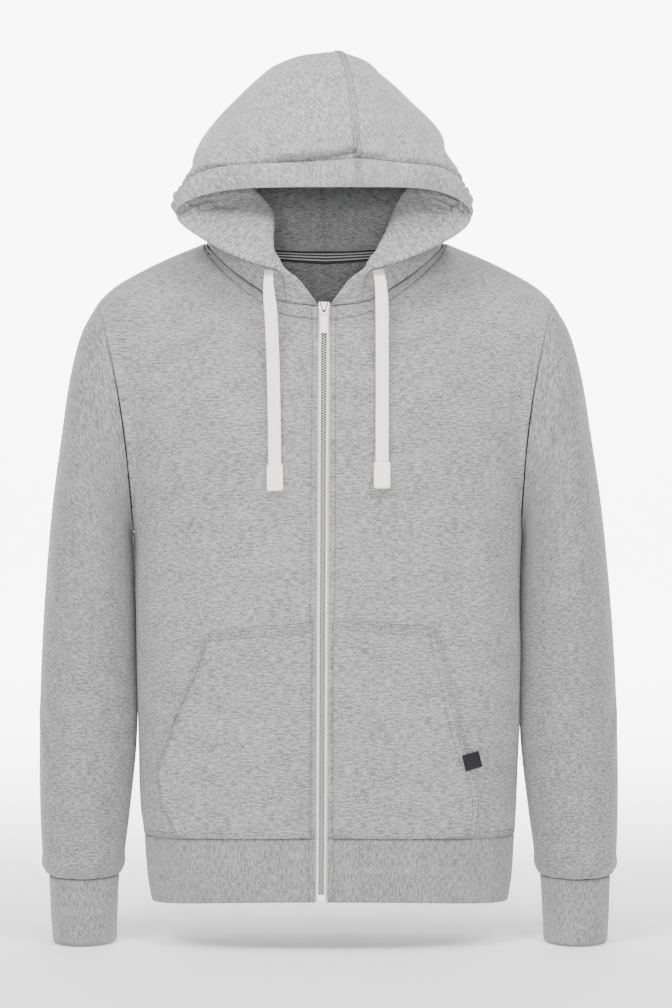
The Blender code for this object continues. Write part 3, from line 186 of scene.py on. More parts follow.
HoodRow = namedtuple("HoodRow", "share rim tunnel fold behind flank rear seam")
HOOD_COLUMNS = (0.0, 0.16, 0.42, 0.68, 1.0, 1.5, 2.0)
HOOD_ROWS = (
    HoodRow(0.10, (0.026, -0.127, -0.0500), (0.045, -0.120, -0.0400), (0.073, -0.104, -0.0260),
            (0.102, -0.070, -0.0080), (0.1240, -0.005, 0.0080), (0.088, 0.073, 0.004), (0.0, 0.098, 0.003)),
    HoodRow(0.15, (0.046, -0.1325, -0.0405), (0.041, -0.120, -0.0290), (0.067, -0.101, -0.0150),
            (0.098, -0.067, -0.0020), (0.1235, -0.003, 0.0120), (0.089, 0.074, 0.009), (0.0, 0.0995, 0.008)),
    HoodRow(0.20, (0.068, -0.135, -0.0345), (0.048, -0.121, -0.0180), (0.060, -0.099, -0.0040),
            (0.095, -0.063, 0.0050), (0.1230, -0.002, 0.0170), (0.090, 0.075, 0.014), (0.0, 0.101, 0.013)),
    HoodRow(0.30, (0.098, -0.120, -0.0220), (0.079, -0.116, -0.0030), (0.056, -0.098, 0.0140),
            (0.091, -0.053, 0.0200), (0.1235, 0.000, 0.0280), (0.092, 0.077, 0.028), (0.0, 0.107, 0.027)),
    HoodRow(0.40, (0.129, -0.093, -0.0040), (0.1120, -0.092, 0.0150), (0.060, -0.087, 0.0310),
            (0.097, -0.043, 0.0380), (0.1255, 0.002, 0.0430), (0.094, 0.080, 0.044), (0.0, 0.114, 0.043)),
    HoodRow(0.48, (0.154, -0.067, 0.0140), (0.1390, -0.066, 0.0300), (0.070, -0.077, 0.0480),
            (0.106, -0.040, 0.0550), (0.1285, 0.003, 0.0600), (0.095, 0.083, 0.060), (0.0, 0.119, 0.060)),
    HoodRow(0.53, (0.1545, -0.068, 0.0280), (0.1530, -0.055, 0.0430), (0.090, -0.072, 0.0630),
            (0.1150, -0.036, 0.0690), (0.1310, 0.006, 0.0730), (0.096, 0.085, 0.073), (0.0, 0.1215, 0.073)),
    HoodRow(0.58, (0.1370, -0.084, 0.0350), (0.1495, -0.069, 0.0560), (0.1150, -0.068, 0.0780),
            (0.1270, -0.030, 0.0840), (0.1330, 0.010, 0.0880), (0.096, 0.087, 0.088), (0.0, 0.1235, 0.088)),
    HoodRow(0.66, (0.1060, -0.114, 0.0450), (0.1220, -0.103, 0.0720), (0.1300, -0.068, 0.0900),
            (0.1330, -0.024, 0.1030), (0.1240, 0.023, 0.1110), (0.084, 0.087, 0.114), (0.0, 0.122, 0.114)),
    HoodRow(0.80, (0.0680, -0.135, 0.0410), (0.0770, -0.127, 0.0680), (0.102, -0.092, 0.1040),
            (0.1125, -0.048, 0.1310), (0.1020, 0.003, 0.1430), (0.067, 0.061, 0.150), (0.0, 0.105, 0.153)),
    HoodRow(0.91, (0.0300, -0.145, 0.0405), (0.0340, -0.139, 0.0700), (0.054, -0.113, 0.1180),
            (0.0640, -0.068, 0.1590), (0.0600, -0.018, 0.1780), (0.040, 0.033, 0.185), (0.0, 0.074, 0.182)),
    HoodRow(1.00, (0.0, -0.148, 0.0400), (0.0, -0.142, 0.0710), (0.0, -0.119, 0.1210),
            (0.0, -0.079, 0.1650), (0.0, -0.030, 0.1935), (0.0, 0.008, 0.2020), (0.0, 0.042, 0.1985)),
)
HOOD_STEPS = np.array((0.0, 0.05, 0.10, 0.15, 0.20, 0.25, 0.30, 0.35, 0.40, 0.44, 0.47, 0.495, 0.52, 0.55,
                       0.58, 0.62, 0.66, 0.73, 0.80, 0.87, 0.94, 1.0))
HOOD_ACROSS = np.array((0.0, 0.08, 0.16, 0.23, 0.30, 0.36, 0.42, 0.49, 0.57, 0.67, 0.78, 0.89, 1.0,
                        1.12, 1.25, 1.38, 1.5, 1.63, 1.75, 1.88, 2.0))
SEAM_ROUNDING = 0.030
FOLD_PASSES = 6

PocketEdge = namedtuple("PocketEdge", "height outer_x")
POCKET_EDGES = {
    "right": (PocketEdge(-0.6125, 0.151), PocketEdge(-0.600, 0.156), PocketEdge(-0.578, 0.1650),
              PocketEdge(-0.550, 0.1680), PocketEdge(-0.530, 0.1610), PocketEdge(-0.500, 0.1500),
              PocketEdge(-0.450, 0.1290), PocketEdge(-0.403, 0.1130)),
    "left": (PocketEdge(-0.6125, 0.152), PocketEdge(-0.600, 0.1530), PocketEdge(-0.578, 0.1540),
             PocketEdge(-0.550, 0.1490), PocketEdge(-0.530, 0.1410), PocketEdge(-0.500, 0.1330),
             PocketEdge(-0.450, 0.1230), PocketEdge(-0.399, 0.1120)),
}
POCKET_TOP_CENTRE = {"right": -0.3935, "left": -0.3895}
POCKET_INNER_X = 0.0112

CordStop = namedtuple("CordStop", "x y z")
CORD_ROUTES = {
    "right": (CordStop(-0.0555, -0.1290, -0.0400), CordStop(-0.0553, -0.1294, -0.0600),
              CordStop(-0.0530, -0.1296, -0.0850), CordStop(-0.0508, -0.1300, -0.1300),
              CordStop(-0.0494, -0.1306, -0.1800), CordStop(-0.0485, -0.1312, -0.2345)),
    "left": (CordStop(0.0542, -0.1290, -0.0395), CordStop(0.0562, -0.1293, -0.0520),
             CordStop(0.0576, -0.1296, -0.0700), CordStop(0.0582, -0.1300, -0.1200),
             CordStop(0.0584, -0.1306, -0.1750), CordStop(0.0585, -0.1312, -0.2320)),
}

# %% [markdown]
# These helpers turn a table into a surface. A cubic curve runs through the rows, with its direction at each
# row taken from the rows on either side. All of them work on whole grids of points at once, which keeps a
# fine garment quick to build.

# %% Curves and grids
def ease(value, low, high):
    """0 below low, 1 above high, with a soft start and end between."""
    share = np.clip((np.asarray(value, float) - low) / (high - low), 0.0, 1.0)
    return share * share * (3.0 - 2.0 * share)


def hump(value, middle, width):
    """A smooth bump: 1 at the middle, and next to nothing beyond two widths of it."""
    return np.exp(-((value - middle) / width) ** 2)


def through(keys, values, at, end_slope=None):
    """The points at `at` on smooth curves through values, which sit at rising keys."""
    keys = np.asarray(keys, float)
    values = np.asarray(values, float)
    at = np.asarray(at, float)
    last = len(keys) - 1
    before = np.maximum(np.arange(last + 1) - 1, 0)
    after = np.minimum(np.arange(last + 1) + 1, last)
    wide = (-1,) + (1,) * (values.ndim - 1)
    slopes = (values[after] - values[before]) / (keys[after] - keys[before]).reshape(wide)
    if end_slope is not None:
        slopes[-1] = end_slope
    span = np.clip(np.searchsorted(keys, at, side="left") - 1, 0, last - 1)
    step = (keys[span + 1] - keys[span]).reshape(wide)
    share = (at - keys[span]).reshape(wide) / step
    square = share * share
    cube = square * share
    return (values[span] * (2.0 * cube - 3.0 * square + 1.0)
            + slopes[span] * step * (cube - 2.0 * square + share)
            + values[span + 1] * (3.0 * square - 2.0 * cube)
            + slopes[span + 1] * step * (cube - square))


def settle(points):
    """Where points of the symmetric shape lie once the garment hangs a little askew."""
    points = np.array(points, float)
    x, y, z = points[..., 0], points[..., 1], points[..., 2]
    below = np.maximum(-z, 0.0)
    middle, crown, ridge = [np.maximum(1.0 - (x / reach) ** 2, 0.0)
                            for reach in (BODY_REACH, CROWN_REACH, SEAM_REACH)]
    drift = HANG_DRIFT * below - ZIP_DRIFT * below / BODY_LENGTH * ease(-y, 0.0, 0.10) * middle
    turn = ease(z, -0.030, 0.040) * (HOOD_SHIFT * ridge - HOOD_TURN * y * crown)
    spread = HOOD_SPREAD * ease(-x, 0.05, 0.10) * ease(z, 0.0, 0.04) * (1.0 - 0.9 * ease(z, 0.08, 0.12))
    tuck = HOOD_TUCK * ease(x, 0.05, 0.10) * ease(z, 0.065, 0.10)
    lift = CROWN_LIFT * hump(x, CROWN_LIFT_X, CROWN_LIFT_REACH) * ease(z, 0.08, 0.16)
    return np.stack([x + drift + turn - spread - tuck, y, z + lift], axis=-1)


def unit(vectors):
    return vectors / np.maximum(np.linalg.norm(vectors, axis=-1, keepdims=True), 1e-12)


def outward(grid, wraps=False):
    """Unit normals of a grid whose rows run up and whose columns run to the right, seen from outside."""
    if wraps:
        across = np.roll(grid[:, :-1], -1, axis=1) - np.roll(grid[:, :-1], 1, axis=1)
        across = np.concatenate([across, across[:, :1]], axis=1)
    else:
        across = np.gradient(grid, axis=1)
    return unit(np.cross(across, np.gradient(grid, axis=0)))


def mirrored(grid):
    """The same grid on the wearer's other side, still facing out."""
    return grid[:, ::-1] * MIRROR


def on_side(side, grid, wall):
    """A left piece's grid and wall, turned over if it is for the right side."""
    return (grid, wall) if side == "left" else (mirrored(grid), wall[:, ::-1])


def run_lengths(grid, axis):
    """How far each row or column of a grid is along the cloth, on average, in metres."""
    steps = np.linalg.norm(np.diff(grid, axis=axis), axis=-1).mean(axis=1 - axis)
    return np.concatenate([[0.0], np.cumsum(steps)])


def length_along(points):
    """How far along a line of points each of them is."""
    return np.concatenate([[0.0], np.cumsum(np.linalg.norm(np.diff(points, axis=0), axis=1))])


def from_edge(grid, edge):
    """How far each point of a grid is from one of its edges, measured along the cloth."""
    axis = 0 if edge in ("top", "bottom") else 1
    work = np.flip(grid, axis) if edge in ("top", "last") else grid
    steps = np.linalg.norm(np.diff(work, axis=axis), axis=-1)
    start = np.zeros_like(np.take(steps, [0], axis=axis))
    distance = np.concatenate([start, np.cumsum(steps, axis=axis)], axis=axis)
    return np.flip(distance, axis) if edge in ("top", "last") else distance


def graded(low, high, count, ends=0.35):
    """Rising values, closer together at both ends, where seams and stitches need a finer grid."""
    share = np.linspace(0.0, 1.0, count)
    bent = share - ends * np.sin(2.0 * math.pi * share) / (2.0 * math.pi)
    return low + (high - low) * bent


def waves(a, b, sizes):
    """Slow uneven waves, the sum of a few in different directions: rows of (length, turn, height, phase)."""
    total = np.zeros_like(a)
    for length, turn, height, phase in sizes:
        way = a * math.cos(turn) + b * math.sin(turn)
        total += height * np.sin(2.0 * math.pi * way / length + phase)
    return total


Crease = namedtuple("Crease", "a0 b0 a1 b1 width depth lean")


def creased(a, b, creases):
    """How far creases move cloth out: each is a soft trough along a line, with a ridge on one side."""
    total = np.zeros_like(a)
    for crease in creases:
        along = np.array((crease.a1 - crease.a0, crease.b1 - crease.b0))
        long = np.linalg.norm(along)
        along = along / long
        run = (a - crease.a0) * along[0] + (b - crease.b0) * along[1]
        off = (b - crease.b0) * along[0] - (a - crease.a0) * along[1]
        inside = ease(run, -0.15 * long, 0.35 * long) * (1.0 - ease(run, 0.65 * long, 1.15 * long))
        trough = -hump(off, 0.0, crease.width)
        ridge = crease.lean * hump(off, 1.7 * crease.width, crease.width)
        total += crease.depth * (trough + ridge) * inside
    return total


# %% [markdown]
# A piece of cloth starts as Blender's own flat grid. Its points are then moved onto the surface, and
# Solidify gives it its thickness. A vertex group thins the wall towards folded edges, so that a hem ends in
# a round nose instead of a square cut. The UV map is in metres along the cloth, so the knit keeps its real
# size.

# %% Making a piece
def named_mesh(name, bm, material):
    mesh = bpy.data.meshes.new(name)
    bm.to_mesh(mesh)
    bm.free()
    mesh.materials.append(material)
    mesh.shade_smooth()
    piece = bpy.data.objects.new(name, mesh)
    bpy.context.scene.collection.objects.link(piece)
    return piece


def knit_map(grid, lean):
    """UVs of a body panel with level courses: distance round it, and height, taken over the shoulder."""
    steps = np.linalg.norm(np.diff(grid[..., :2], axis=1), axis=-1)
    round_body = np.concatenate([np.zeros((len(grid), 1)), np.cumsum(steps, axis=1)], axis=1)
    turning = lean * ease((grid[1:, :, 2] + grid[:-1, :, 2]) / 2.0, -0.15, -0.02)
    rises = np.diff(grid[..., 2], axis=0) + turning * np.diff(grid[..., 1], axis=0)
    return round_body, np.concatenate([grid[:1, :, 2], grid[:1, :, 2] + np.cumsum(rises, axis=0)])


def lay_map(bm, pairs):
    """Write the UV map from one pair of values for each vertex, in order."""
    layer = bm.loops.layers.uv.new("cloth")
    bm.verts.index_update()
    for face in bm.faces:
        for loop in face.loops:
            loop[layer].uv = pairs[loop.vert.index]


def cloth(name, grid, material, thickness=CLOTH, wall=None, wraps=False, knit=None):
    """A cloth piece on a grid of outer points. wall is the share of the thickness at each point."""
    rows, columns = grid.shape[:2]
    ways = outward(grid, wraps)
    share = np.ones((rows, columns)) if wall is None else wall
    middle = settle(grid - ways * (thickness * share / 2.0)[..., None])
    bm = bmesh.new()
    bmesh.ops.create_grid(bm, x_segments=columns - 1, y_segments=rows - 1, size=1.0)
    for vert, point in zip(bm.verts, middle.reshape(-1, 3)):
        vert.co = point
    if knit is None:
        knit = (np.broadcast_to(run_lengths(grid, 1)[None, :], (rows, columns)),
                np.broadcast_to(run_lengths(grid, 0)[:, None], (rows, columns)))
    lay_map(bm, list(zip(knit[0].reshape(-1).tolist(), knit[1].reshape(-1).tolist())))
    group = bm.verts.layers.deform.verify()
    for vert, part in zip(bm.verts, share.reshape(-1)):
        vert[group][0] = float(part)
    if wraps:
        bmesh.ops.remove_doubles(bm, verts=bm.verts, dist=0.00001)
    piece = named_mesh(name, bm, material)
    piece.vertex_groups.new(name="wall")
    thick = piece.modifiers.new("thickness", "SOLIDIFY")
    thick.thickness = thickness
    thick.offset = 0.0
    thick.vertex_group = "wall"
    thick.use_even_offset = False
    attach(piece, "garment")
    return piece


def nose(distance, radius):
    """The share of the wall left at a distance from a folded edge, so that the edge is round."""
    inside = np.clip(1.0 - distance / radius, 0.0, 1.0)
    return np.maximum(np.sqrt(1.0 - inside ** 2), 0.12)


def sewn(distance, depth=0.0011, reach=0.0030):
    """How far cloth dips towards a seam, where the seam allowance pulls it in."""
    return -depth * np.clip(1.0 - distance / reach, 0.0, 1.0) ** 2


def stitch_line(distance, at, depth=0.0010, width=0.0014):
    """The small groove that a row of stitches pulls into the cloth."""
    return -depth * hump(distance, at, width)


def rib_map(grid):
    """UVs of a rib strip: height first, so that the knit's streaks run with the ribs."""
    across = np.broadcast_to(run_lengths(grid, 1)[None, :], grid.shape[:2])
    return np.broadcast_to(run_lengths(grid, 0)[:, None], grid.shape[:2]), across


# %% [markdown]
# Stitches and seams follow the borders of pieces, so a helper finds the line at a given distance inside a
# border. Along it go small flattened balls for stitches. A seam's allowance is a thin strip under the gap
# between two pieces, so that the gap has a bottom. Cords are tubes through rings of points.

# %% Stitches, seams and tubes
def edge_line(grid, edge, distance):
    """Points and normals of a grid along one of its edges, at a distance inside it."""
    ways = outward(grid)
    away = from_edge(grid, edge)
    if edge in ("top", "bottom"):
        away, work, turned = away.T, grid.transpose(1, 0, 2), ways.transpose(1, 0, 2)
    else:
        work, turned = grid, ways
    points, normals = [], []
    for line, spots, facing in zip(away, work, turned):
        order = np.argsort(line)
        points.append([np.interp(distance, line[order], spots[order, axis]) for axis in range(3)])
        normals.append([np.interp(distance, line[order], facing[order, axis]) for axis in range(3)])
    return np.array(points), unit(np.array(normals))


def read_along(at, along, values):
    """A line's points or normals between its own, at given distances along it."""
    return np.stack([np.interp(at, along, values[:, axis]) for axis in range(3)], axis=1)


def spaced(points, normals, pitch):
    """Places at an even pitch along a line, with the way along it and the way out of the cloth."""
    along = length_along(points)
    count = max(int(along[-1] / pitch), 2)
    at = np.linspace(0.0, along[-1], count + 1)
    at = (at[1:] + at[:-1]) / 2.0
    places = read_along(at, along, points)
    facing = unit(read_along(at, along, normals))
    ahead = read_along(at + pitch / 4.0, along, points)
    behind = read_along(at - pitch / 4.0, along, points)
    return places, unit(ahead - behind), facing


def cover_bars(length, width=0.0006):
    """The settings of a cover stitch's threads, which lie across its seam."""
    return {"across": True, "pitch": 0.0026, "length": length, "width": width}


def add_stitches(bm, points, normals, pitch=0.0031, length=0.0029, width=0.0010, across=False, lift=0.0):
    """A row of small sewn stitches along a line, or across it for an overlock or cover stitch."""
    places, runs, facing = spaced(points, normals, pitch)
    runs = unit(runs - facing * np.sum(runs * facing, axis=1, keepdims=True))
    sides = np.cross(facing, runs)
    if across:
        runs, sides = sides, -runs
    for place, run, side, way in zip(settle(places + facing * lift), runs, sides, facing):
        turn = Matrix((run * length / 2.0, side * width / 2.0, way * width / 2.0)).transposed().to_4x4()
        turn.translation = place
        bmesh.ops.create_icosphere(bm, subdivisions=1, radius=1.0, matrix=turn)


def line_on(side, line):
    """A line of points and normals of the left half, turned over if it is for the right side."""
    return line if side == "left" else (line[0] * MIRROR, line[1] * MIRROR)


def thread_piece(name, rows, material):
    """One object of many stitches. rows holds a line and its settings for each row of stitches."""
    bm = bmesh.new()
    for line, settings in rows:
        add_stitches(bm, *line, **settings)
    piece = named_mesh(name, bm, material)
    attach(piece, "garment")
    return piece


def add_tube(bm, rings):
    """A closed tube through rings of points, with its ends filled."""
    rings = np.concatenate([rings, rings[:, :1]], axis=1)
    rows, columns = rings.shape[:2]
    made = bmesh.new()
    bmesh.ops.create_grid(made, x_segments=columns - 1, y_segments=rows - 1, size=1.0)
    for vert, point in zip(made.verts, settle(rings).reshape(-1, 3)):
        vert.co = point
    lay_map(made, [(around, along) for along in run_lengths(rings, 0) for around in run_lengths(rings, 1)])
    bmesh.ops.remove_doubles(made, verts=made.verts, dist=0.00001)
    bmesh.ops.holes_fill(made, edges=made.edges, sides=0)
    bmesh.ops.recalc_face_normals(made, faces=made.faces)
    joined = bpy.data.meshes.new("tube")
    made.to_mesh(joined)
    made.free()
    bm.from_mesh(joined)
    bpy.data.meshes.remove(joined)


def tube(name, rings, material):
    bm = bmesh.new()
    add_tube(bm, rings)
    return named_mesh(name, bm, material)


def seam_line(grid, edge, mirror=False):
    """A panel's border: its points, the way out of the cloth, and the way on over the seam."""
    points, facing = edge_line(grid, edge, 0.0)
    inside, _ = edge_line(grid, edge, 0.0040)
    over = unit(points - inside)
    other = MIRROR if mirror else np.ones(3)
    return points * other, facing * other, over * other


def add_allowance(bm, line, inside=0.0024, beyond=0.0012, depth=0.0005, thickness=0.0006):
    """The strip of cloth under a seam, seen only as the bottom of the groove between two panels."""
    points, facing, over = line
    low = points - facing * depth
    corners = (low - over * inside, low + over * beyond,
               low + over * beyond - facing * thickness, low - over * inside - facing * thickness)
    add_tube(bm, np.stack(corners, axis=1))


# %% [markdown]
# Grey marl is dark and pale fibres spun together. In the knit they show as short streaks that run with the
# courses, across the body and sleeves. The brushed fleece makes the face soft, so there is almost no shine
# and a pale fuzz at grazing angles. A node group gives the colour and height, and each cloth sets them up.

# %% Marl cloth
def link(tree, source, socket):
    tree.links.new(source, socket)


def set_sockets(made, values):
    for socket, value in values.items():
        made.inputs[socket].default_value = value


def node(tree, kind, place, sockets=None, **settings):
    """A new node at a place in the editor, with its settings and the constants on its sockets."""
    made = tree.nodes.new(kind)
    made.location = place
    for key, value in settings.items():
        setattr(made, key, value)
    set_sockets(made, sockets or {})
    return made


def cloth_map(tree, place, scale, shift=(0.0, 0.0, 0.0)):
    """A piece's own UV map, which is in metres along the cloth, scaled and shifted."""
    metres = node(tree, "ShaderNodeUVMap", (place[0] - 200, place[1]), uv_map="cloth")
    scaled = node(tree, "ShaderNodeMapping", place, {"Scale": scale, "Location": shift})
    link(tree, metres.outputs["UV"], scaled.inputs["Vector"])
    return scaled.outputs["Vector"]


def add_bump(tree, shader, height, strength, distance, invert=False):
    """Small relief that a height gives to a shader."""
    bump = node(tree, "ShaderNodeBump", (-250, -200), {"Strength": strength, "Distance": distance},
                invert=invert)
    link(tree, height, bump.inputs["Height"])
    link(tree, bump.outputs["Normal"], shader.inputs["Normal"])


# Each row of streaks: how many to a metre across and up, how much finer detail, and its share of the whole.
Streaks = namedtuple("Streaks", "across up detail share")
MARL_STREAKS = (Streaks(130.0, 560.0, 3.0, 0.45), Streaks(360.0, 1300.0, 2.0, 0.45),
                Streaks(24.0, 60.0, 2.0, 0.10))
MARL_CONTRAST = (0.405, 0.595)


def marl_group():
    """Colour and height of marl knit from a UV map in metres, with streaks along U."""
    group = bpy.data.node_groups.new("marl_knit", "ShaderNodeTree")
    group.interface.new_socket("Dark", in_out="INPUT", socket_type="NodeSocketColor")
    group.interface.new_socket("Pale", in_out="INPUT", socket_type="NodeSocketColor")
    group.interface.new_socket("Colour", in_out="OUTPUT", socket_type="NodeSocketColor")
    group.interface.new_socket("Height", in_out="OUTPUT", socket_type="NodeSocketFloat")
    outer = node(group, "NodeGroupInput", (-1200, 0))
    inner = node(group, "NodeGroupOutput", (700, 0))
    total = None
    for index, streaks in enumerate(MARL_STREAKS):
        level = -250 * index
        shift = (3.1 * index, 7.7 * index, 0.0)
        metres = cloth_map(group, (-950, level), (streaks.across, streaks.up, 1.0), shift)
        noise = node(group, "ShaderNodeTexNoise", (-720, level),
                     {"Scale": 1.0, "Detail": streaks.detail, "Roughness": 0.6}, noise_dimensions="2D")
        link(group, metres, noise.inputs["Vector"])
        part = node(group, "ShaderNodeMath", (-480, level), operation="MULTIPLY")
        part.inputs[1].default_value = streaks.share
        link(group, noise.outputs["Fac"], part.inputs[0])
        if total is None:
            total = part
        else:
            both = node(group, "ShaderNodeMath", (-280, level), operation="ADD")
            link(group, total.outputs[0], both.inputs[0])
            link(group, part.outputs[0], both.inputs[1])
            total = both
    spread = node(group, "ShaderNodeMapRange", (-60, 0),
                  {"From Min": MARL_CONTRAST[0], "From Max": MARL_CONTRAST[1]})
    link(group, total.outputs[0], spread.inputs["Value"])
    mix = node(group, "ShaderNodeMix", (200, 100), data_type="RGBA")
    link(group, spread.outputs["Result"], mix.inputs["Factor"])
    link(group, outer.outputs["Dark"], mix.inputs["A"])
    link(group, outer.outputs["Pale"], mix.inputs["B"])
    link(group, mix.outputs["Result"], inner.inputs["Colour"])
    link(group, total.outputs[0], inner.inputs["Height"])
    return group


MARL = marl_group()


def new_material(name):
    material = bpy.data.materials.new(name)
    material.use_nodes = True
    tree = material.node_tree
    return material, tree, tree.nodes["Principled BSDF"]


RIB_PITCH = 0.0025


def marl_material(name, dark, pale, rib=0.0):
    """Marl cloth. rib is the strength of the fine ribs along U, for cuffs and hems."""
    material, tree, shader = new_material(name)
    marl = node(tree, "ShaderNodeGroup", (-700, 100), node_tree=MARL)
    set_sockets(marl, {"Dark": (*dark, 1.0), "Pale": (*pale, 1.0)})
    link(tree, marl.outputs["Colour"], shader.inputs["Base Color"])
    set_sockets(shader, {"Roughness": 0.95, "Specular IOR Level": 0.15, "Sheen Weight": 0.25,
                         "Sheen Roughness": 0.6})
    height = marl.outputs["Height"]
    if rib > 0.0:
        # At a scale of 1 this texture's waves are pi / 10 apart.
        metres = cloth_map(tree, (-900, -300), (1.0, math.pi / 10.0 / RIB_PITCH, 1.0))
        ribs = node(tree, "ShaderNodeTexWave", (-700, -300), {"Scale": 1.0}, wave_type="BANDS",
                    bands_direction="Y", wave_profile="SIN")
        link(tree, metres, ribs.inputs["Vector"])
        part = node(tree, "ShaderNodeMath", (-500, -300), operation="MULTIPLY_ADD")
        part.inputs[1].default_value = rib
        link(tree, ribs.outputs["Fac"], part.inputs[0])
        link(tree, marl.outputs["Height"], part.inputs[2])
        height = part.outputs[0]
    add_bump(tree, shader, height, 0.35, 0.0010)
    return material


# %% [markdown]
# Cotton tape and cord are plain weaves. Small square cells in two shades give their crossing threads, and the
# same cells give the relief. The tape at the neck has thin stripes, which a stepped colour ramp lays across
# it. Everything else is one even colour.

# %% Woven, striped and plain finishes
def plain_material(name, colour, roughness, metallic=0.0, sheen=0.0):
    material, tree, shader = new_material(name)
    set_sockets(shader, {"Base Color": (*colour, 1.0), "Roughness": roughness, "Metallic": metallic,
                         "Sheen Weight": sheen})
    return material


def woven_material(name, dark, pale, across, up):
    """Plain weave in two shades, from a UV map in metres. across and up are the threads' spacings."""
    material, tree, shader = new_material(name)
    metres = cloth_map(tree, (-800, 0), (1.0 / across, 1.0 / up, 1.0))
    checks = node(tree, "ShaderNodeTexVoronoi", (-600, 0), {"Scale": 1.0, "Randomness": 0.25},
                  voronoi_dimensions="2D", distance="CHEBYCHEV")
    link(tree, metres, checks.inputs["Vector"])
    mix = node(tree, "ShaderNodeMix", (-350, 100), data_type="RGBA")
    set_sockets(mix, {"A": (*pale, 1.0), "B": (*dark, 1.0)})
    link(tree, checks.outputs["Distance"], mix.inputs["Factor"])
    link(tree, mix.outputs["Result"], shader.inputs["Base Color"])
    set_sockets(shader, {"Roughness": 0.9, "Sheen Weight": 0.2})
    add_bump(tree, shader, checks.outputs["Distance"], 0.5, 0.0004, invert=True)
    return material


STRIPE_HALF = 0.045


def striped_material(name, ground, stripe, width, lines):
    """Plain tape with thin stripes along U. lines are their places across it, as shares of its width."""
    material, tree, shader = new_material(name)
    place = node(tree, "ShaderNodeUVMap", (-1000, 0), uv_map="cloth")
    parts = node(tree, "ShaderNodeSeparateXYZ", (-820, 0))
    link(tree, place.outputs["UV"], parts.inputs["Vector"])
    share = node(tree, "ShaderNodeMath", (-640, 0), operation="DIVIDE")
    share.inputs[1].default_value = width
    link(tree, parts.outputs["Y"], share.inputs[0])
    ramp = node(tree, "ShaderNodeValToRGB", (-440, 0))
    ramp.color_ramp.interpolation = "CONSTANT"
    ramp.color_ramp.elements[0].color = (*ground, 1.0)
    ramp.color_ramp.elements[1].position = 0.999
    ramp.color_ramp.elements[1].color = (*ground, 1.0)
    for line in lines:
        for at, colour in ((line - STRIPE_HALF, stripe), (line + STRIPE_HALF, ground)):
            ramp.color_ramp.elements.new(at).color = (*colour, 1.0)
    link(tree, share.outputs[0], ramp.inputs["Fac"])
    link(tree, ramp.outputs["Color"], shader.inputs["Base Color"])
    shader.inputs["Roughness"].default_value = 0.85
    return material


# %% [markdown]
# The same yarn is given a different shade on each piece: the hood is painted paler and the sleeves darker, as
# painted light and shade from above, and the rib is stretched. The zip's metal shows pale only on the teeth's
# front faces. Their sides carry painted shade for the gaps between the teeth, which keeps the rows apart.

# %% The finishes
# The hood's marl is paler and the sleeves' darker than the body's: painted light and shade, as light from
# above gives.
BODY_CLOTH = marl_material("marl_body", (0.126, 0.126, 0.129), (0.350, 0.350, 0.357))
SLEEVE_CLOTH_PAINTED_SHADE = marl_material("marl_sleeve_painted_shade", (0.104, 0.104, 0.107), (0.300, 0.300, 0.306))
HOOD_CLOTH_PAINTED_LIGHT = marl_material("marl_hood_painted_light", (0.150, 0.150, 0.153), (0.400, 0.400, 0.408))
RIB_KNIT = marl_material("marl_rib", (0.128, 0.128, 0.131), (0.305, 0.305, 0.312), rib=0.90)
# Grey thread, made darker as painted shade of the grooves that stitches pull in; also the painted shadow in
# the pocket mouths.
THREAD_AND_SHADE = plain_material("grey_thread_and_painted_shade", (0.11, 0.11, 0.115), 0.85)
CREAM_COTTON = plain_material("cream_cotton", (0.96, 0.93, 0.80), 0.85, sheen=0.4)
CREAM_WEAVE = woven_material("cream_weave", (0.80, 0.77, 0.64), (0.97, 0.945, 0.83), 0.0017, 0.0012)
CREAM_TAPE = woven_material("cream_tape", (0.86, 0.83, 0.70), (0.96, 0.935, 0.82), 0.0007, 0.0009)
STRIPED_TAPE = striped_material("striped_tape", (0.055, 0.055, 0.060), (0.55, 0.55, 0.52), 0.0150,
                                (0.28, 0.52, 0.76))
ZIP_METAL = plain_material("zip_metal", (0.62, 0.56, 0.46), 0.35, metallic=0.9)
TOOTH_METAL = plain_material("tooth_metal", (0.50, 0.47, 0.40), 0.50, metallic=0.15)
# Painted shade: the teeth's sides and ends are dark, for the shade in the gaps between the teeth.
TOOTH_SIDE_SHADE = plain_material("tooth_side_painted_shade", (0.060, 0.050, 0.040), 0.9)
# Painted shade: a flat dark for the gap behind the teeth and for the slider's grooves and window.
GAP_SHADE_PAINT = plain_material("painted_gap_shade", (0.022, 0.020, 0.016), 0.95)
CREAM_LACQUER = plain_material("cream_lacquer", (0.93, 0.90, 0.79), 0.35)
LABEL_BLACK = plain_material("label_black", (0.006, 0.006, 0.007), 0.9)


# %% [markdown]
# The body rises as rings up to the armpits. Above them each row bends up from the centre and over to the
# shoulder, and its end follows the armhole. The same functions give the points for the fronts, the back,
# the pockets and the zip, so nothing has to be fitted afterwards.

# %% Body surfaces
def stops_at(stops, at):
    return through([stop.column for stop in stops], [stop.point for stop in stops], at)


def neck(columns):
    columns = np.asarray(columns, float)
    front = stops_at(NECK_FRONT, np.minimum(columns, 1.0))
    back = stops_at(NECK_BACK, np.maximum(columns, 1.0))
    return np.where((columns <= 1.0)[:, None], front, back)


def armhole(angles):
    """The armhole seam of the wearer's left. 0 degrees is the shoulder tip, 90 the front, 180 the armpit."""
    turn = np.radians(np.asarray(angles, float))
    share = ((1.0 - np.cos(turn)) / 2.0)[:, None]
    points = SHOULDER_TIP * (1.0 - share) + ARMPIT * share
    points[:, 0] -= ARMHOLE_BOW * np.sin(turn) ** 2
    points[:, 1] -= ARMHOLE_HALF_DEPTH * np.sin(turn)
    return points


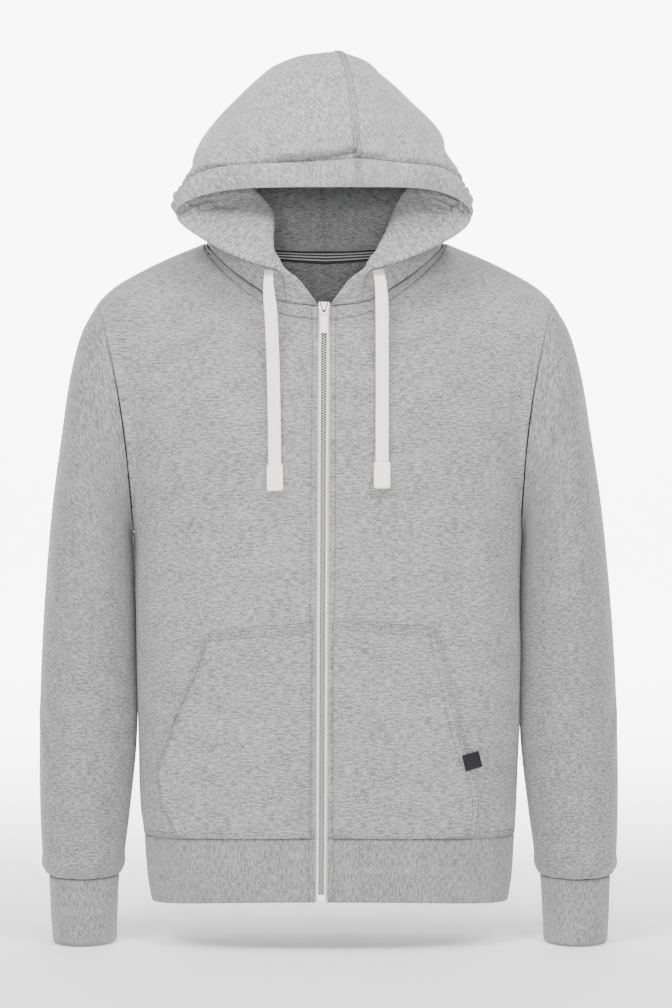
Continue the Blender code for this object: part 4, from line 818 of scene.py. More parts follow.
def ring_points(ring, columns):
    """Points of a body ring: column 0 is the centre front, 2 the side and 4 the centre back."""
    columns = np.asarray(columns, float)
    turn = np.radians(45.0 * columns)
    across = np.abs(np.sin(turn)) ** (2.0 / BODY_EXPONENT)
    deep = np.abs(np.cos(turn)) ** (2.0 / BODY_EXPONENT)
    front = columns <= 2.0
    lift = ring.front_lift * np.cos(turn) ** 2 * np.where(front, 1.0, 0.4)
    x = ring.half_width * across
    x = x + np.where(front, ZIP_EDGE * np.maximum(1.0 - x / ring.half_width, 0.0), 0.0)
    y = np.where(front, -ring.front_depth * deep, ring.back_depth * deep)
    return np.stack([x, y, ring.height + lift], axis=-1)


def panel(front, climbs, columns):
    """The left front, or the left half of the back: rows by climb, columns from the centre to the side."""
    yokes = FRONT_YOKES if front else BACK_YOKES
    columns = np.asarray(columns, float)
    keys = [ring.climb for ring in BODY_RINGS]
    points = [ring_points(ring, columns if front else 4.0 - columns) for ring in BODY_RINGS]
    facing = np.array((1.0, 1.0 if front else -1.0, 1.0))
    for yoke in yokes:
        edge = armhole([yoke.armhole_angle]) * facing
        stations = np.concatenate([np.array(yoke[2:]), edge])
        keys.append(yoke.climb)
        points.append(through(YOKE_COLUMNS, stations, columns))
    keys.append(YOKE_TOP_CLIMB)
    over_shoulder = stops_at(SHOULDER_SEAM, np.maximum(columns, 1.0))
    at_neck = neck(columns if front else 2.0 - columns)
    points.append(np.where((columns > 1.0)[:, None], over_shoulder, at_neck))
    run = points[-1] - points[-2]
    plain = run / (keys[-1] - keys[-2])
    over = np.linalg.norm(plain, axis=1)[:, None] * np.array((0.0, facing[1], 0.0))
    blend = ease(columns, 0.75, 1.0)[:, None]
    surface = through(keys, points, climbs, plain * (1.0 - blend) + over * blend)
    angle_keys = [ARMPIT_CLIMB] + [yoke.climb for yoke in FRONT_YOKES] + [YOKE_TOP_CLIMB]
    angle_stops = np.array([180.0] + [float(yoke.armhole_angle) for yoke in FRONT_YOKES] + [0.0])
    high = climbs >= ARMPIT_CLIMB - 1e-9
    edge = armhole(through(angle_keys, angle_stops, climbs[high])) * facing
    pull = ease(columns, 1.7, 2.0)[None, :, None]
    surface[high] += (edge - surface[high][:, -1])[:, None, :] * pull
    limit = SEAM_GAP / 2.0
    surface[..., 1] = np.minimum(surface[..., 1], -limit) if front else np.maximum(surface[..., 1], limit)
    return surface


# Slow waves and creases of the body, in its own x and z, the same for the panels and the pockets on them.
FRONT_WAVES = ((0.230, 0.4, 0.0011, 0.6), (0.160, 1.9, 0.0008, 2.2), (0.095, 1.2, 0.0004, 4.0))
BACK_WAVES = ((0.240, 1.1, 0.0012, 1.4), (0.170, 2.5, 0.0008, 0.3), (0.100, 0.3, 0.0004, 3.1))
FRONT_CREASES = {
    "left": (Crease(0.128, -0.290, 0.146, -0.420, 0.012, 0.0034, 0.7),
             Crease(0.176, -0.470, 0.188, -0.585, 0.011, 0.0020, 0.6),
             Crease(0.165, -0.262, 0.196, -0.335, 0.010, 0.0018, 0.5),
             Crease(0.060, -0.600, 0.120, -0.612, 0.009, 0.0010, 0.6)),
    "right": (Crease(0.150, -0.250, 0.170, -0.380, 0.015, 0.0018, 0.6),
              Crease(0.181, -0.480, 0.185, -0.580, 0.011, 0.0018, 0.6),
              Crease(0.168, -0.262, 0.197, -0.330, 0.010, 0.0018, 0.5)),
}
BACK_CREASES = (Crease(-0.120, -0.250, -0.160, -0.420, 0.016, 0.0024, 0.7),
                Crease(0.115, -0.260, 0.165, -0.400, 0.015, 0.0026, 0.6),
                Crease(-0.060, -0.540, 0.080, -0.560, 0.014, 0.0016, 0.7),
                Crease(-0.100, -0.055, 0.060, -0.048, 0.013, 0.0014, 0.5),
                Crease(0.150, -0.470, 0.172, -0.580, 0.012, 0.0018, 0.6))


def front_swell(side, x, z):
    """How far the cloth of a front stands out from its plain form at a place."""
    quiet = ease(x, 0.006, 0.030)
    return quiet * (waves(x * SIDES[side], z, FRONT_WAVES) + creased(x, z, FRONT_CREASES[side]))


def line_trough(x, z, stops, width, depth):
    """A trough along a line of stops in x and z, fading out at its ends."""
    total = np.zeros_like(x)
    for (x0, z0), (x1, z1) in zip(stops[:-1], stops[1:]):
        long = (x1 - x0) ** 2 + (z1 - z0) ** 2
        share = np.clip(((x - x0) * (x1 - x0) + (z - z0) * (z1 - z0)) / long, 0.0, 1.0)
        off = np.hypot(x - x0 - share * (x1 - x0), z - z0 - share * (z1 - z0))
        total = np.maximum(total, hump(off, 0.0, width))
    low, high = min(stop[1] for stop in stops), max(stop[1] for stop in stops)
    return -depth * total * ease(z, low, low + 0.03) * (1.0 - ease(z, high - 0.02, high))


BODY_CLIMBS = np.concatenate([graded(0.0, ARMPIT_CLIMB, 84, 0.45),
                              graded(ARMPIT_CLIMB, YOKE_TOP_CLIMB, 84, 0.45)[1:]])
FRONT_ACROSS = graded(0.0, 2.0, 110, 0.70)
# The front dips along a pocket's open edge, most where the hand goes in.
POCKET_HOLLOW = {"right": 0.0026, "left": 0.0008}
POCKET_HOLLOW_Z = -0.505
POCKET_HOLLOW_BEYOND = 0.0022
POCKET_HOLLOW_WIDTH = 0.0034
# Folds fade out within this distance of a seam.
SEAM_CALM = 0.03
ZIP_ROW = 0.0055
NECK_ROW = 0.0140
HEM_ROW = 0.0035

fronts = {}
for side in SIDES:
    grid = panel(True, BODY_CLIMBS, FRONT_ACROSS)
    ways = outward(grid)
    swell = front_swell(side, grid[..., 0], grid[..., 2])
    hem_side = from_edge(grid, "bottom")
    zip_side = from_edge(grid, "first")
    neck_side = from_edge(grid, "top")
    seam_side = from_edge(grid, "last")
    for distance in (hem_side, neck_side, seam_side):
        swell = swell * ease(distance, 0.0, SEAM_CALM)
    at_neck = (1.0 - ease(FRONT_ACROSS, 0.98, 1.02))[None, :]
    swell = swell + sewn(hem_side) + sewn(seam_side) + sewn(neck_side) * (0.4 + 0.6 * at_neck)
    swell = swell + stitch_line(zip_side, ZIP_ROW) + stitch_line(neck_side, NECK_ROW, 0.0016) * at_neck
    swell = swell + stitch_line(hem_side, HEM_ROW, 0.0004)
    grid = grid + ways * swell[..., None]
    wall = nose(zip_side, CLOTH / 2.0)
    fronts[side] = grid
    stops = [(edge.outer_x + POCKET_HOLLOW_BEYOND, edge.height) for edge in POCKET_EDGES[side]]
    depth = POCKET_HOLLOW[side] * (1.0 + 0.9 * hump(grid[..., 2], POCKET_HOLLOW_Z, 0.035))
    hollow = line_trough(grid[..., 0], grid[..., 2], stops, POCKET_HOLLOW_WIDTH, depth)
    grid = grid + ways * hollow[..., None]
    grid, wall = on_side(side, grid, wall)
    piece = cloth("show_front_" + side, grid, BODY_CLOTH, wall=wall, knit=knit_map(grid, 0.8))
    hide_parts("front_" + side)
print("fronts", fronts["left"].shape)

# %% [markdown]
# The back is one piece, so its left half is worked out and turned over to give the right half. Where it
# meets the fronts over the shoulders, both dip a little into the seam.

# %% The back
half = panel(False, BODY_CLIMBS, graded(0.0, 2.0, 70, 0.45))
back_grid = np.concatenate([half[:, ::-1], half[:, 1:] * MIRROR], axis=1)
ways = outward(back_grid)
seam_sides = [from_edge(back_grid, edge) for edge in ("bottom", "top", "first", "last")]
swell = waves(back_grid[..., 0], back_grid[..., 2], BACK_WAVES)
swell = swell + creased(back_grid[..., 0], back_grid[..., 2], BACK_CREASES)
for distance in seam_sides:
    swell = swell * ease(distance, 0.0, SEAM_CALM)
for distance in seam_sides:
    swell = swell + sewn(distance)
swell = swell + stitch_line(seam_sides[0], HEM_ROW, 0.0004)
NECK_HALF_WIDTH = NECK_BACK[0].point[0]
back_neck = (np.abs(back_grid[-1, :, 0]) < NECK_HALF_WIDTH)[None, :]
swell = swell + stitch_line(seam_sides[1], NECK_ROW) * back_neck
back_grid = back_grid + ways * swell[..., None]
piece = cloth("show_back", back_grid, BODY_CLOTH, knit=knit_map(back_grid, -0.8))
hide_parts("back")
print("back", back_grid.shape)


# %% [markdown]
# A sleeve is a tube of ovals that start on the armhole seam and end at the cuff. It is cut fuller than the
# cuff, so it is gathered there into small uneven folds. The elbow and the underarm crease softly.

# %% Sleeves and cuffs
def oval(ring, angles):
    """A sleeve's section. 0 degrees is its outer side, 90 its front and 180 its inner side."""
    turn = np.radians(angles)
    outer = np.array((ring.outer_x, 0.0, ring.outer_z))
    inner = np.array((ring.inner_x, 0.0, ring.inner_z))
    share = ((1.0 - np.cos(turn)) / 2.0)[:, None]
    points = outer * (1.0 - share) + inner * share
    points[:, 0] -= ARMHOLE_BOW * ring.bow * np.sin(turn) ** 2
    points[:, 1] = ring.centre_y - ring.half_depth * np.sin(turn)
    return points


SLEEVE_CREASES = (
    Crease(0.085, 0.060, 0.110, 0.170, 0.014, 0.0022, 0.6),
    Crease(0.060, 0.250, 0.125, 0.285, 0.011, 0.0020, 0.7),
    Crease(0.075, 0.330, 0.135, 0.350, 0.012, 0.0018, 0.7),
    Crease(0.020, 0.410, 0.070, 0.450, 0.012, 0.0014, 0.6),
    Crease(0.090, 0.520, 0.150, 0.545, 0.010, 0.0016, 0.6),
    Crease(0.250, 0.080, 0.300, 0.170, 0.013, 0.0020, 0.6),
    Crease(0.260, 0.300, 0.330, 0.320, 0.012, 0.0018, 0.6),
    Crease(0.300, 0.450, 0.360, 0.480, 0.012, 0.0016, 0.6),
)
SLEEVE_WAVES = ((0.140, 1.35, 0.0007, 0.9), (0.090, 0.5, 0.0004, 2.0))
SLEEVE_GIRTH = 0.42
# Gathers at the cuff: their number round it, height and reach, and how far the sleeve blouses out above it.
GATHERS = 31
GATHER_HEIGHT = 0.00085
GATHER_REACH = 0.011
GATHER_PHASES = {"left": (0.7, 0.0), "right": (2.1, 1.9)}
CUFF_BLOUSE = 0.0022
PLEAT_WIDTH = 0.0016
CUFF_PLEATS = ((78.0, 0.0016), (118.0, 0.0010), (40.0, 0.0009), (250.0, 0.0014), (300.0, 0.0009))

sleeve_angles = np.linspace(0.0, 360.0, 117)
sleeve_alongs = graded(0.0, SLEEVE_RINGS[-1].along, 150, 0.55)
sleeve_grids = {}
for side in SIDES:
    rings = [oval(ring, sleeve_angles) for ring in SLEEVE_RINGS]
    grid = through([ring.along for ring in SLEEVE_RINGS], rings, sleeve_alongs)
    grid[0, :, 0] += SEAM_GAP
    ways = outward(grid, wraps=True)
    shoulder_side = from_edge(grid, "bottom")
    cuff_side = from_edge(grid, "top")
    girth = np.broadcast_to((sleeve_angles / 360.0 * SLEEVE_GIRTH)[None, :], grid.shape[:2])
    around = np.radians(np.broadcast_to(sleeve_angles[None, :], grid.shape[:2]))
    free = ease(shoulder_side, 0.0, 0.04) * ease(cuff_side, 0.0, 0.03)
    inner_side = np.clip(-np.cos(around), 0.0, 1.0) ** 2
    swell = waves(girth, shoulder_side, SLEEVE_WAVES) * np.sin(around / 2.0) ** 2
    swell = (swell + creased(girth, shoulder_side, SLEEVE_CREASES)) * free * (1.0 - 0.9 * inner_side)
    uneven, swelling = GATHER_PHASES[side]
    gather = np.cos(GATHERS * around + 1.3 * np.sin(3.0 * around + uneven))
    gather *= 0.65 + 0.35 * np.sin(5.0 * around + swelling)
    near_cuff = np.exp(-(cuff_side / GATHER_REACH)) * ease(cuff_side, -0.001, 0.004)
    swell = swell + GATHER_HEIGHT * gather * near_cuff
    for angle, depth in CUFF_PLEATS:
        pleat = hump(girth, angle / 360.0 * SLEEVE_GIRTH, PLEAT_WIDTH)
        swell = swell - depth * pleat * (1.0 - ease(cuff_side, 0.004, 0.014))
    swell = swell + CUFF_BLOUSE * hump(cuff_side, 0.012, 0.009)
    swell = swell + sewn(shoulder_side) + sewn(cuff_side, 0.0016, 0.0040)
    grid = grid + ways * swell[..., None]
    sleeve_grids[side] = grid
    if side == "right":
        grid = mirrored(grid)
    piece = cloth("show_sleeve_" + side, grid[::-1, ::-1], SLEEVE_CLOTH_PAINTED_SHADE, wraps=True)
    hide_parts("sleeve_" + side)

    cuff_rows = np.linspace(CUFF_RINGS[0].height, CUFF_RINGS[-1].height, 40)
    rings = [oval(SleeveRing(0.0, ring.outer_x, ring.height, ring.inner_x, ring.height, ring.half_depth,
                             ring.centre_y, 0.0), sleeve_angles) for ring in CUFF_RINGS]
    grid = through([ring.height for ring in CUFF_RINGS], rings, cuff_rows)[:, ::-1]
    ways = outward(grid, wraps=True)
    bottom = from_edge(grid, "bottom")
    top = from_edge(grid, "top")
    swell = sewn(top, 0.0012, 0.0035) + 0.0004 * hump(bottom, 0.004, 0.004)
    grid = grid + ways * swell[..., None]
    if side == "right":
        grid = mirrored(grid)
    piece = cloth("show_cuff_" + side, grid, RIB_KNIT, thickness=RIB_CLOTH, wraps=True,
                  wall=nose(bottom, RIB_CLOTH / 2.0), knit=rib_map(grid))
    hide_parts("cuff_" + side)
print("sleeves", sleeve_grids["left"].shape)

# %% [markdown]
# The hem band is a strip of rib folded double and sewn on under tension, so it draws the body in. Its lower
# edge is a fold, so it is round.

# %% Hem band
columns = graded(0.0, 4.0, 190, 0.30)
rings = [ring_points(ring, columns) for ring in HEM_RINGS]
rings = [np.concatenate([ring, ring[-2::-1] * MIRROR]) for ring in rings]
hem_rows = np.linspace(0.0, HEM_RINGS[-1].climb, 34)
hem_grid = through([ring.climb for ring in HEM_RINGS], rings, hem_rows)
ways = outward(hem_grid)
bottom = from_edge(hem_grid, "bottom")
top = from_edge(hem_grid, "top")
left_zip = from_edge(hem_grid, "first")
right_zip = from_edge(hem_grid, "last")
swell = sewn(top, 0.0012, 0.0035) + 0.0005 * hump(bottom, 0.005, 0.005)
swell = swell + stitch_line(left_zip, ZIP_ROW) + stitch_line(right_zip, ZIP_ROW)
hem_grid = hem_grid + ways * swell[..., None]
hem_wall = nose(bottom, RIB_CLOTH / 2.0) * nose(left_zip, RIB_CLOTH / 2.0) * nose(right_zip, RIB_CLOTH / 2.0)
piece = cloth("show_hem_band", hem_grid, RIB_KNIT, thickness=RIB_CLOTH, wall=hem_wall, knit=rib_map(hem_grid))
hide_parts("hem_band")
print("hem band", hem_grid.shape)


# %% [markdown]
# Each hood half is worked out on the CAD's own grid of points and then made finer. A tunnel runs round the
# face opening: two layers with a cord between them, which puff up between the edge and the stitch line. The
# tunnel is pulled tight round the corners of the opening, so it puckers there.

# %% Hood
def hood_base():
    """The left half on the CAD's grid, with the same softened folds."""
    rows = [neck(HOOD_ACROSS)]
    for row in HOOD_ROWS:
        stations = np.array(row[1:])
        into_seam = None
        if row.share < 1.0:
            into_seam = np.array((-np.linalg.norm(stations[-1] - stations[-2]) / 0.5, 0.0, 0.0))
        rows.append(through(HOOD_COLUMNS, stations, HOOD_ACROSS, into_seam))
    keys = [0.0] + [row.share for row in HOOD_ROWS]
    run = (rows[-1] - rows[-2]) / (keys[-1] - keys[-2])
    level = np.zeros_like(run)
    level[:, 0] = -np.linalg.norm(run, axis=1)
    blend = ease(rows[-2][:, 0], 0.0, SEAM_ROUNDING)[:, None]
    grid = through(keys, rows, HOOD_STEPS, run * (1.0 - blend) + level * blend)
    inner_pull = 0.5 * (1.0 - ease(HOOD_ACROSS, 0.7, 1.2))
    rim_pull = 0.5 * ease(HOOD_STEPS, 0.35, 0.48)
    for _ in range(FOLD_PASSES):
        before = grid.copy()
        middle = (before[:-2, 1:-1] + before[2:, 1:-1] + before[1:-1, :-2] + before[1:-1, 2:]) / 4.0
        pull = inner_pull[None, 1:-1, None]
        grid[1:-1, 1:-1] = before[1:-1, 1:-1] * (1.0 - pull) + middle * pull
        rim = (before[:-2, 0] + before[2:, 0]) / 2.0
        pull = rim_pull[1:-1, None]
        grid[1:-1, 0] = before[1:-1, 0] * (1.0 - pull) + rim * pull
    grid[..., 0] += SEAM_GAP / 2.0
    grid[0, :-1, 0] -= SEAM_GAP / 2.0
    grid[0, :, 2] += SEAM_GAP
    return grid


HOOD_WAVES = ((0.150, 0.8, 0.0008, 0.2), (0.100, 2.2, 0.0006, 1.7), (0.060, 1.5, 0.0003, 3.3))
# Folds of the crown that hang over the tunnel: from one share of the rim to another, rising off the stitches.
OverFold = namedtuple("OverFold", "start end low high height")
OVER_FOLDS = {
    "right": (OverFold(0.80, 1.02, 0.0040, 0.0115, 0.0080), OverFold(0.60, 0.72, 0.0060, 0.0040, 0.0016)),
    "left": (OverFold(0.90, 1.02, 0.0080, 0.0050, 0.0040), OverFold(0.70, 0.86, 0.0050, 0.0070, 0.0014)),
}
# Such a fold is steep below its ridge and soft above, with a crease under it, and it hangs towards the rim.
RIDGE_BELOW, RIDGE_ABOVE = 0.0022, 0.0110
CREASE_BELOW, CREASE_WIDTH, CREASE_SHARE = 0.0040, 0.0016, 0.45
HANG_SHARE = 0.5
HOOD_CREASES = {
    "right": (Crease(-0.075, 0.160, -0.110, 0.100, 0.010, 0.0020, 0.6),
              Crease(-0.010, 0.060, 0.060, 0.040, 0.012, 0.0022, 0.6),
              Crease(0.020, 0.150, 0.090, 0.110, 0.014, 0.0020, 0.6)),
    "left": (Crease(-0.085, 0.150, -0.100, 0.105, 0.009, 0.0016, 0.6),
             Crease(-0.005, 0.070, 0.050, 0.030, 0.012, 0.0024, 0.6),
             Crease(0.010, 0.165, 0.080, 0.140, 0.014, 0.0018, 0.6)),
}
# Folds seen inside the opening, where the cheek turns round the corner and at the back of the head.
InnerFold = namedtuple("InnerFold", "start end width depth")
INNER_FOLDS = {
    "right": (InnerFold((0.130, -0.072, 0.050), (0.102, -0.081, 0.028), 0.0060, 0.0034),
              InnerFold((0.130, -0.074, 0.018), (0.112, -0.080, 0.012), 0.0035, 0.0016),
              InnerFold((0.006, 0.117, 0.070), (0.004, 0.104, 0.032), 0.0050, 0.0012)),
    "left": (InnerFold((0.086, -0.075, 0.050), (0.100, -0.088, 0.029), 0.0045, 0.0036),
             InnerFold((0.100, -0.088, 0.029), (0.112, -0.094, 0.012), 0.0050, 0.0036),
             InnerFold((0.132, -0.076, 0.045), (0.120, -0.080, 0.026), 0.0050, 0.0026),
             InnerFold((0.007, 0.117, 0.068), (0.017, 0.104, 0.032), 0.0050, 0.0022)),
}


def folded_in(grid, folds):
    """How far folds push cloth out, each along a straight line in space."""
    total = np.zeros(grid.shape[:2])
    for fold in folds:
        start = np.array(fold.start)
        line = np.array(fold.end) - start
        share = np.clip(np.sum((grid - start) * line, axis=-1) / np.sum(line * line), 0.0, 1.0)
        off = np.linalg.norm(grid - start - share[..., None] * line, axis=-1)
        total += fold.depth * hump(off, 0.0, fold.width)
    return total


# The grid is finest on the tunnel, and just past it where the crown's folds lie.
FOLDS_COLUMN = 0.34
# The tunnel: the share of the rim where its corner is and how far that reaches, the pitch and height of its
# puckers there and elsewhere, how far it rises between the edge and the stitches, and the stitches' groove.
CORNER_SHARE, CORNER_REACH = 0.50, 0.085
PUCKER_PITCH = 0.0105
PUCKER_HEIGHT, RIPPLE_HEIGHT = 0.0023, 0.00035
TUNNEL_RISE = 0.0024
TUNNEL_GROOVE = 0.0024
TUNNEL_GROOVE_WIDTH = 0.0022
THINNEST_HOOD = 0.0018
hood_across = np.concatenate([graded(0.0, TUNNEL_COLUMN, 24, 0.5),
                              np.linspace(TUNNEL_COLUMN, FOLDS_COLUMN, 38)[1:],
                              np.linspace(FOLDS_COLUMN, 1.0, 36)[1:],
                              graded(1.0, 2.0, 38, 0.2)[1:]])
hood_shares = np.concatenate([np.linspace(0.0, 0.10, 14), np.linspace(0.10, 0.40, 46)[1:],
                              np.linspace(0.40, 0.62, 110)[1:], np.linspace(0.62, 1.0, 80)[1:]])
base = hood_base()
hood_grids = {}
tunnel_lines = {}
for side, sign in SIDES.items():
    grid = through(HOOD_ACROSS, base.transpose(1, 0, 2), hood_across).transpose(1, 0, 2)
    grid = through(HOOD_STEPS, grid, hood_shares)
    ways = outward(grid)
    neck_side, crown_side = from_edge(grid, "bottom"), from_edge(grid, "top")
    rear_side, rim_side = from_edge(grid, "last"), from_edge(grid, "first")
    stitched = np.array([np.interp(TUNNEL_COLUMN, hood_across, row) for row in rim_side])[:, None]
    band = rim_side / stitched
    past = rim_side - stitched
    share = np.broadcast_to(hood_shares[:, None], grid.shape[:2])
    puff = np.where(band <= 1.0, np.sin(np.clip(band, 0.0, 1.0) * math.pi) ** 0.7, 0.0)
    fade = ease(share, 0.0, 0.08)
    along_rim = np.broadcast_to(length_along(grid[:, 0])[:, None], grid.shape[:2])
    corner = hump(share, CORNER_SHARE, CORNER_REACH)
    beat = 2.0 * math.pi * along_rim / PUCKER_PITCH + 1.6 * np.sin(along_rim * 60.0 + sign)
    pucker = np.sin(beat) * (PUCKER_HEIGHT * corner + RIPPLE_HEIGHT * fade)
    pucker = pucker * hump(band, 1.0, 0.75)
    free = ease(neck_side, 0.0, 0.02) * ease(crown_side, 0.0, 0.01) * ease(rear_side, 0.0, 0.02)
    free = free * ease(past, 0.004, 0.030)
    swell = waves(grid[..., 1] * sign, grid[..., 2], HOOD_WAVES) * free
    swell = swell + creased(grid[..., 1], grid[..., 2], HOOD_CREASES[side]) * free * ease(share, 0.5, 0.62)
    hang = np.zeros(grid.shape[:2])
    for fold in OVER_FOLDS[side]:
        run = (share - fold.start) / (fold.end - fold.start)
        place = ease(run, 0.0, 0.45) * (1.0 - ease(run, 0.80, 1.05))
        off = past - fold.low - (fold.high - fold.low) * run
        ridge = place * hump(off, 0.0, np.where(off < 0.0, RIDGE_BELOW, RIDGE_ABOVE))
        crease = place * hump(off, -CREASE_BELOW, CREASE_WIDTH)
        swell = swell + fold.height * (ridge - CREASE_SHARE * crease)
        hang = hang + HANG_SHARE * fold.height * ridge
    swell = swell + folded_in(grid, INNER_FOLDS[side])
    swell = swell + sewn(neck_side, 0.0010, 0.0030) + sewn(rear_side, 0.0007, 0.0025)
    swell = swell + sewn(crown_side, 0.0007, 0.0025) + TUNNEL_RISE * puff * fade + pucker
    groove = hump(past, 0.0, TUNNEL_GROOVE_WIDTH)
    swell = swell - TUNNEL_GROOVE * groove * fade
    to_rim = -unit(np.gradient(grid, axis=1))
    grid = grid + ways * swell[..., None] + to_rim * hang[..., None]
    thickness = CLOTH + (TUNNEL_PUFF - CLOTH) * puff * fade - 0.0004 * groove * fade
    wall = np.maximum(thickness, THINNEST_HOOD) / TUNNEL_PUFF
    pinch = hump(share, CORNER_SHARE, 0.07) * (1.0 - ease(band, 1.2, 2.6))
    wall = wall * (1.0 - 0.35 * pinch) * nose(rim_side, 0.0026)
    hood_grids[side] = grid
    ahead = np.argmin(np.abs(hood_across - TUNNEL_COLUMN))
    tunnel_lines[side] = (grid[:, ahead], outward(grid)[:, ahead])
    grid, wall = on_side(side, grid, wall)
    knit = (from_edge(grid, "first" if side == "left" else "last"),
            np.broadcast_to(run_lengths(grid, 0)[:, None], grid.shape[:2]))
    piece = cloth("show_hood_" + side, grid, HOOD_CLOTH_PAINTED_LIGHT, thickness=TUNNEL_PUFF, wall=wall, knit=knit)
    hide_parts("hood_" + side)
print("hood", hood_grids["left"].shape)

# %% [markdown]
# A striped tape covers the raw neck seam inside the back of the neck. It is a plain woven ribbon, sewn flat
# over the seam along both its edges.

# %% Neck tape
TAPE_COLUMNS = np.linspace(1.38, 2.0, 40)
TAPE_OFF_CLOTH = 0.0016
TAPE_RIPPLE = 0.0004
back_half = panel(False, np.array((0.545, 0.553, 0.561, 0.569, YOKE_TOP_CLIMB)), 2.0 - TAPE_COLUMNS)
hood_half = through(HOOD_ACROSS, base.transpose(1, 0, 2), TAPE_COLUMNS).transpose(1, 0, 2)
hood_half = through(HOOD_STEPS, hood_half, np.array((0.0, 0.02, 0.04, 0.06)))
rows = []
for at in range(len(TAPE_COLUMNS)):
    seam = hood_half[0, at]
    down = unit(back_half[0, at] - back_half[-1, at])
    up = unit(hood_half[2, at] - hood_half[0, at])
    inward = unit(np.array((-seam[0], -seam[1], 0.0)))
    stops = np.array((seam + down * 0.0080, seam + down * 0.0040, seam,
                      seam + up * 0.0035, seam + up * 0.0070))
    ripple = TAPE_RIPPLE * math.sin(at * 0.55)
    rows.append(stops + inward * (CLOTH + TAPE_OFF_CLOTH + ripple))
tape_half = np.array(rows).transpose(1, 0, 2)
tape_grid = np.concatenate([tape_half, tape_half[:, -2::-1] * MIRROR], axis=1)
piece = cloth("show_neck_tape", tape_grid[:, ::-1], STRIPED_TAPE, thickness=0.0009)
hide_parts("neck_tape")

# %% [markdown]
# A kangaroo pocket is a single layer laid on the front and sewn down along its top, its zip edge and the
# hem. The slanted edge is turned under, stitched twice and left open for the hand. Each point is found by
# looking straight at the front and standing the pocket off the cloth that is hit there.

# %% Pockets
def tree_of(grid):
    rows, columns = grid.shape[:2]
    index = np.arange(rows * columns).reshape(rows, columns)
    quads = np.stack([index[:-1, :-1], index[:-1, 1:], index[1:, 1:], index[1:, :-1]], axis=-1).reshape(-1, 4)
    return BVHTree.FromPolygons(grid.reshape(-1, 3).tolist(), quads.tolist())


def stood_off(tree, x, z, lift):
    """The point that stands lift in front of the front's outer face, looking straight at x and z."""
    place, normal, _, _ = tree.ray_cast(Vector((x, -0.4, z)), Vector((0.0, 1.0, 0.0)))
    if normal.y > 0.0:
        normal = -normal
    return place + normal * lift


def laid_on(tree, x, z, lift):
    """A grid of points that stand off the front, from grids of their places and lifts."""
    return np.array([[stood_off(tree, *spot) for spot in zip(*line)]
                     for line in zip(x.tolist(), z.tolist(), lift.tolist())])


# Where the open edge stands off most, how far up and down that reaches, and by how much.
POCKET_GAPE = {"right": (-0.522, 0.045, 0.0048), "left": (-0.500, 0.060, 0.0010)}
trees = {side: tree_of(fronts[side]) for side in SIDES}
# How far the pocket stands off: at its sewn edges, more in the middle, at the thicker turned edge, and at
# the lip of the open edge.
SEWN_GAP = 0.0002
POCKET_LOFT = 0.0006
TURNED_EDGE = 0.0005
MOUTH_LIP = {"right": 0.0014, "left": 0.0}
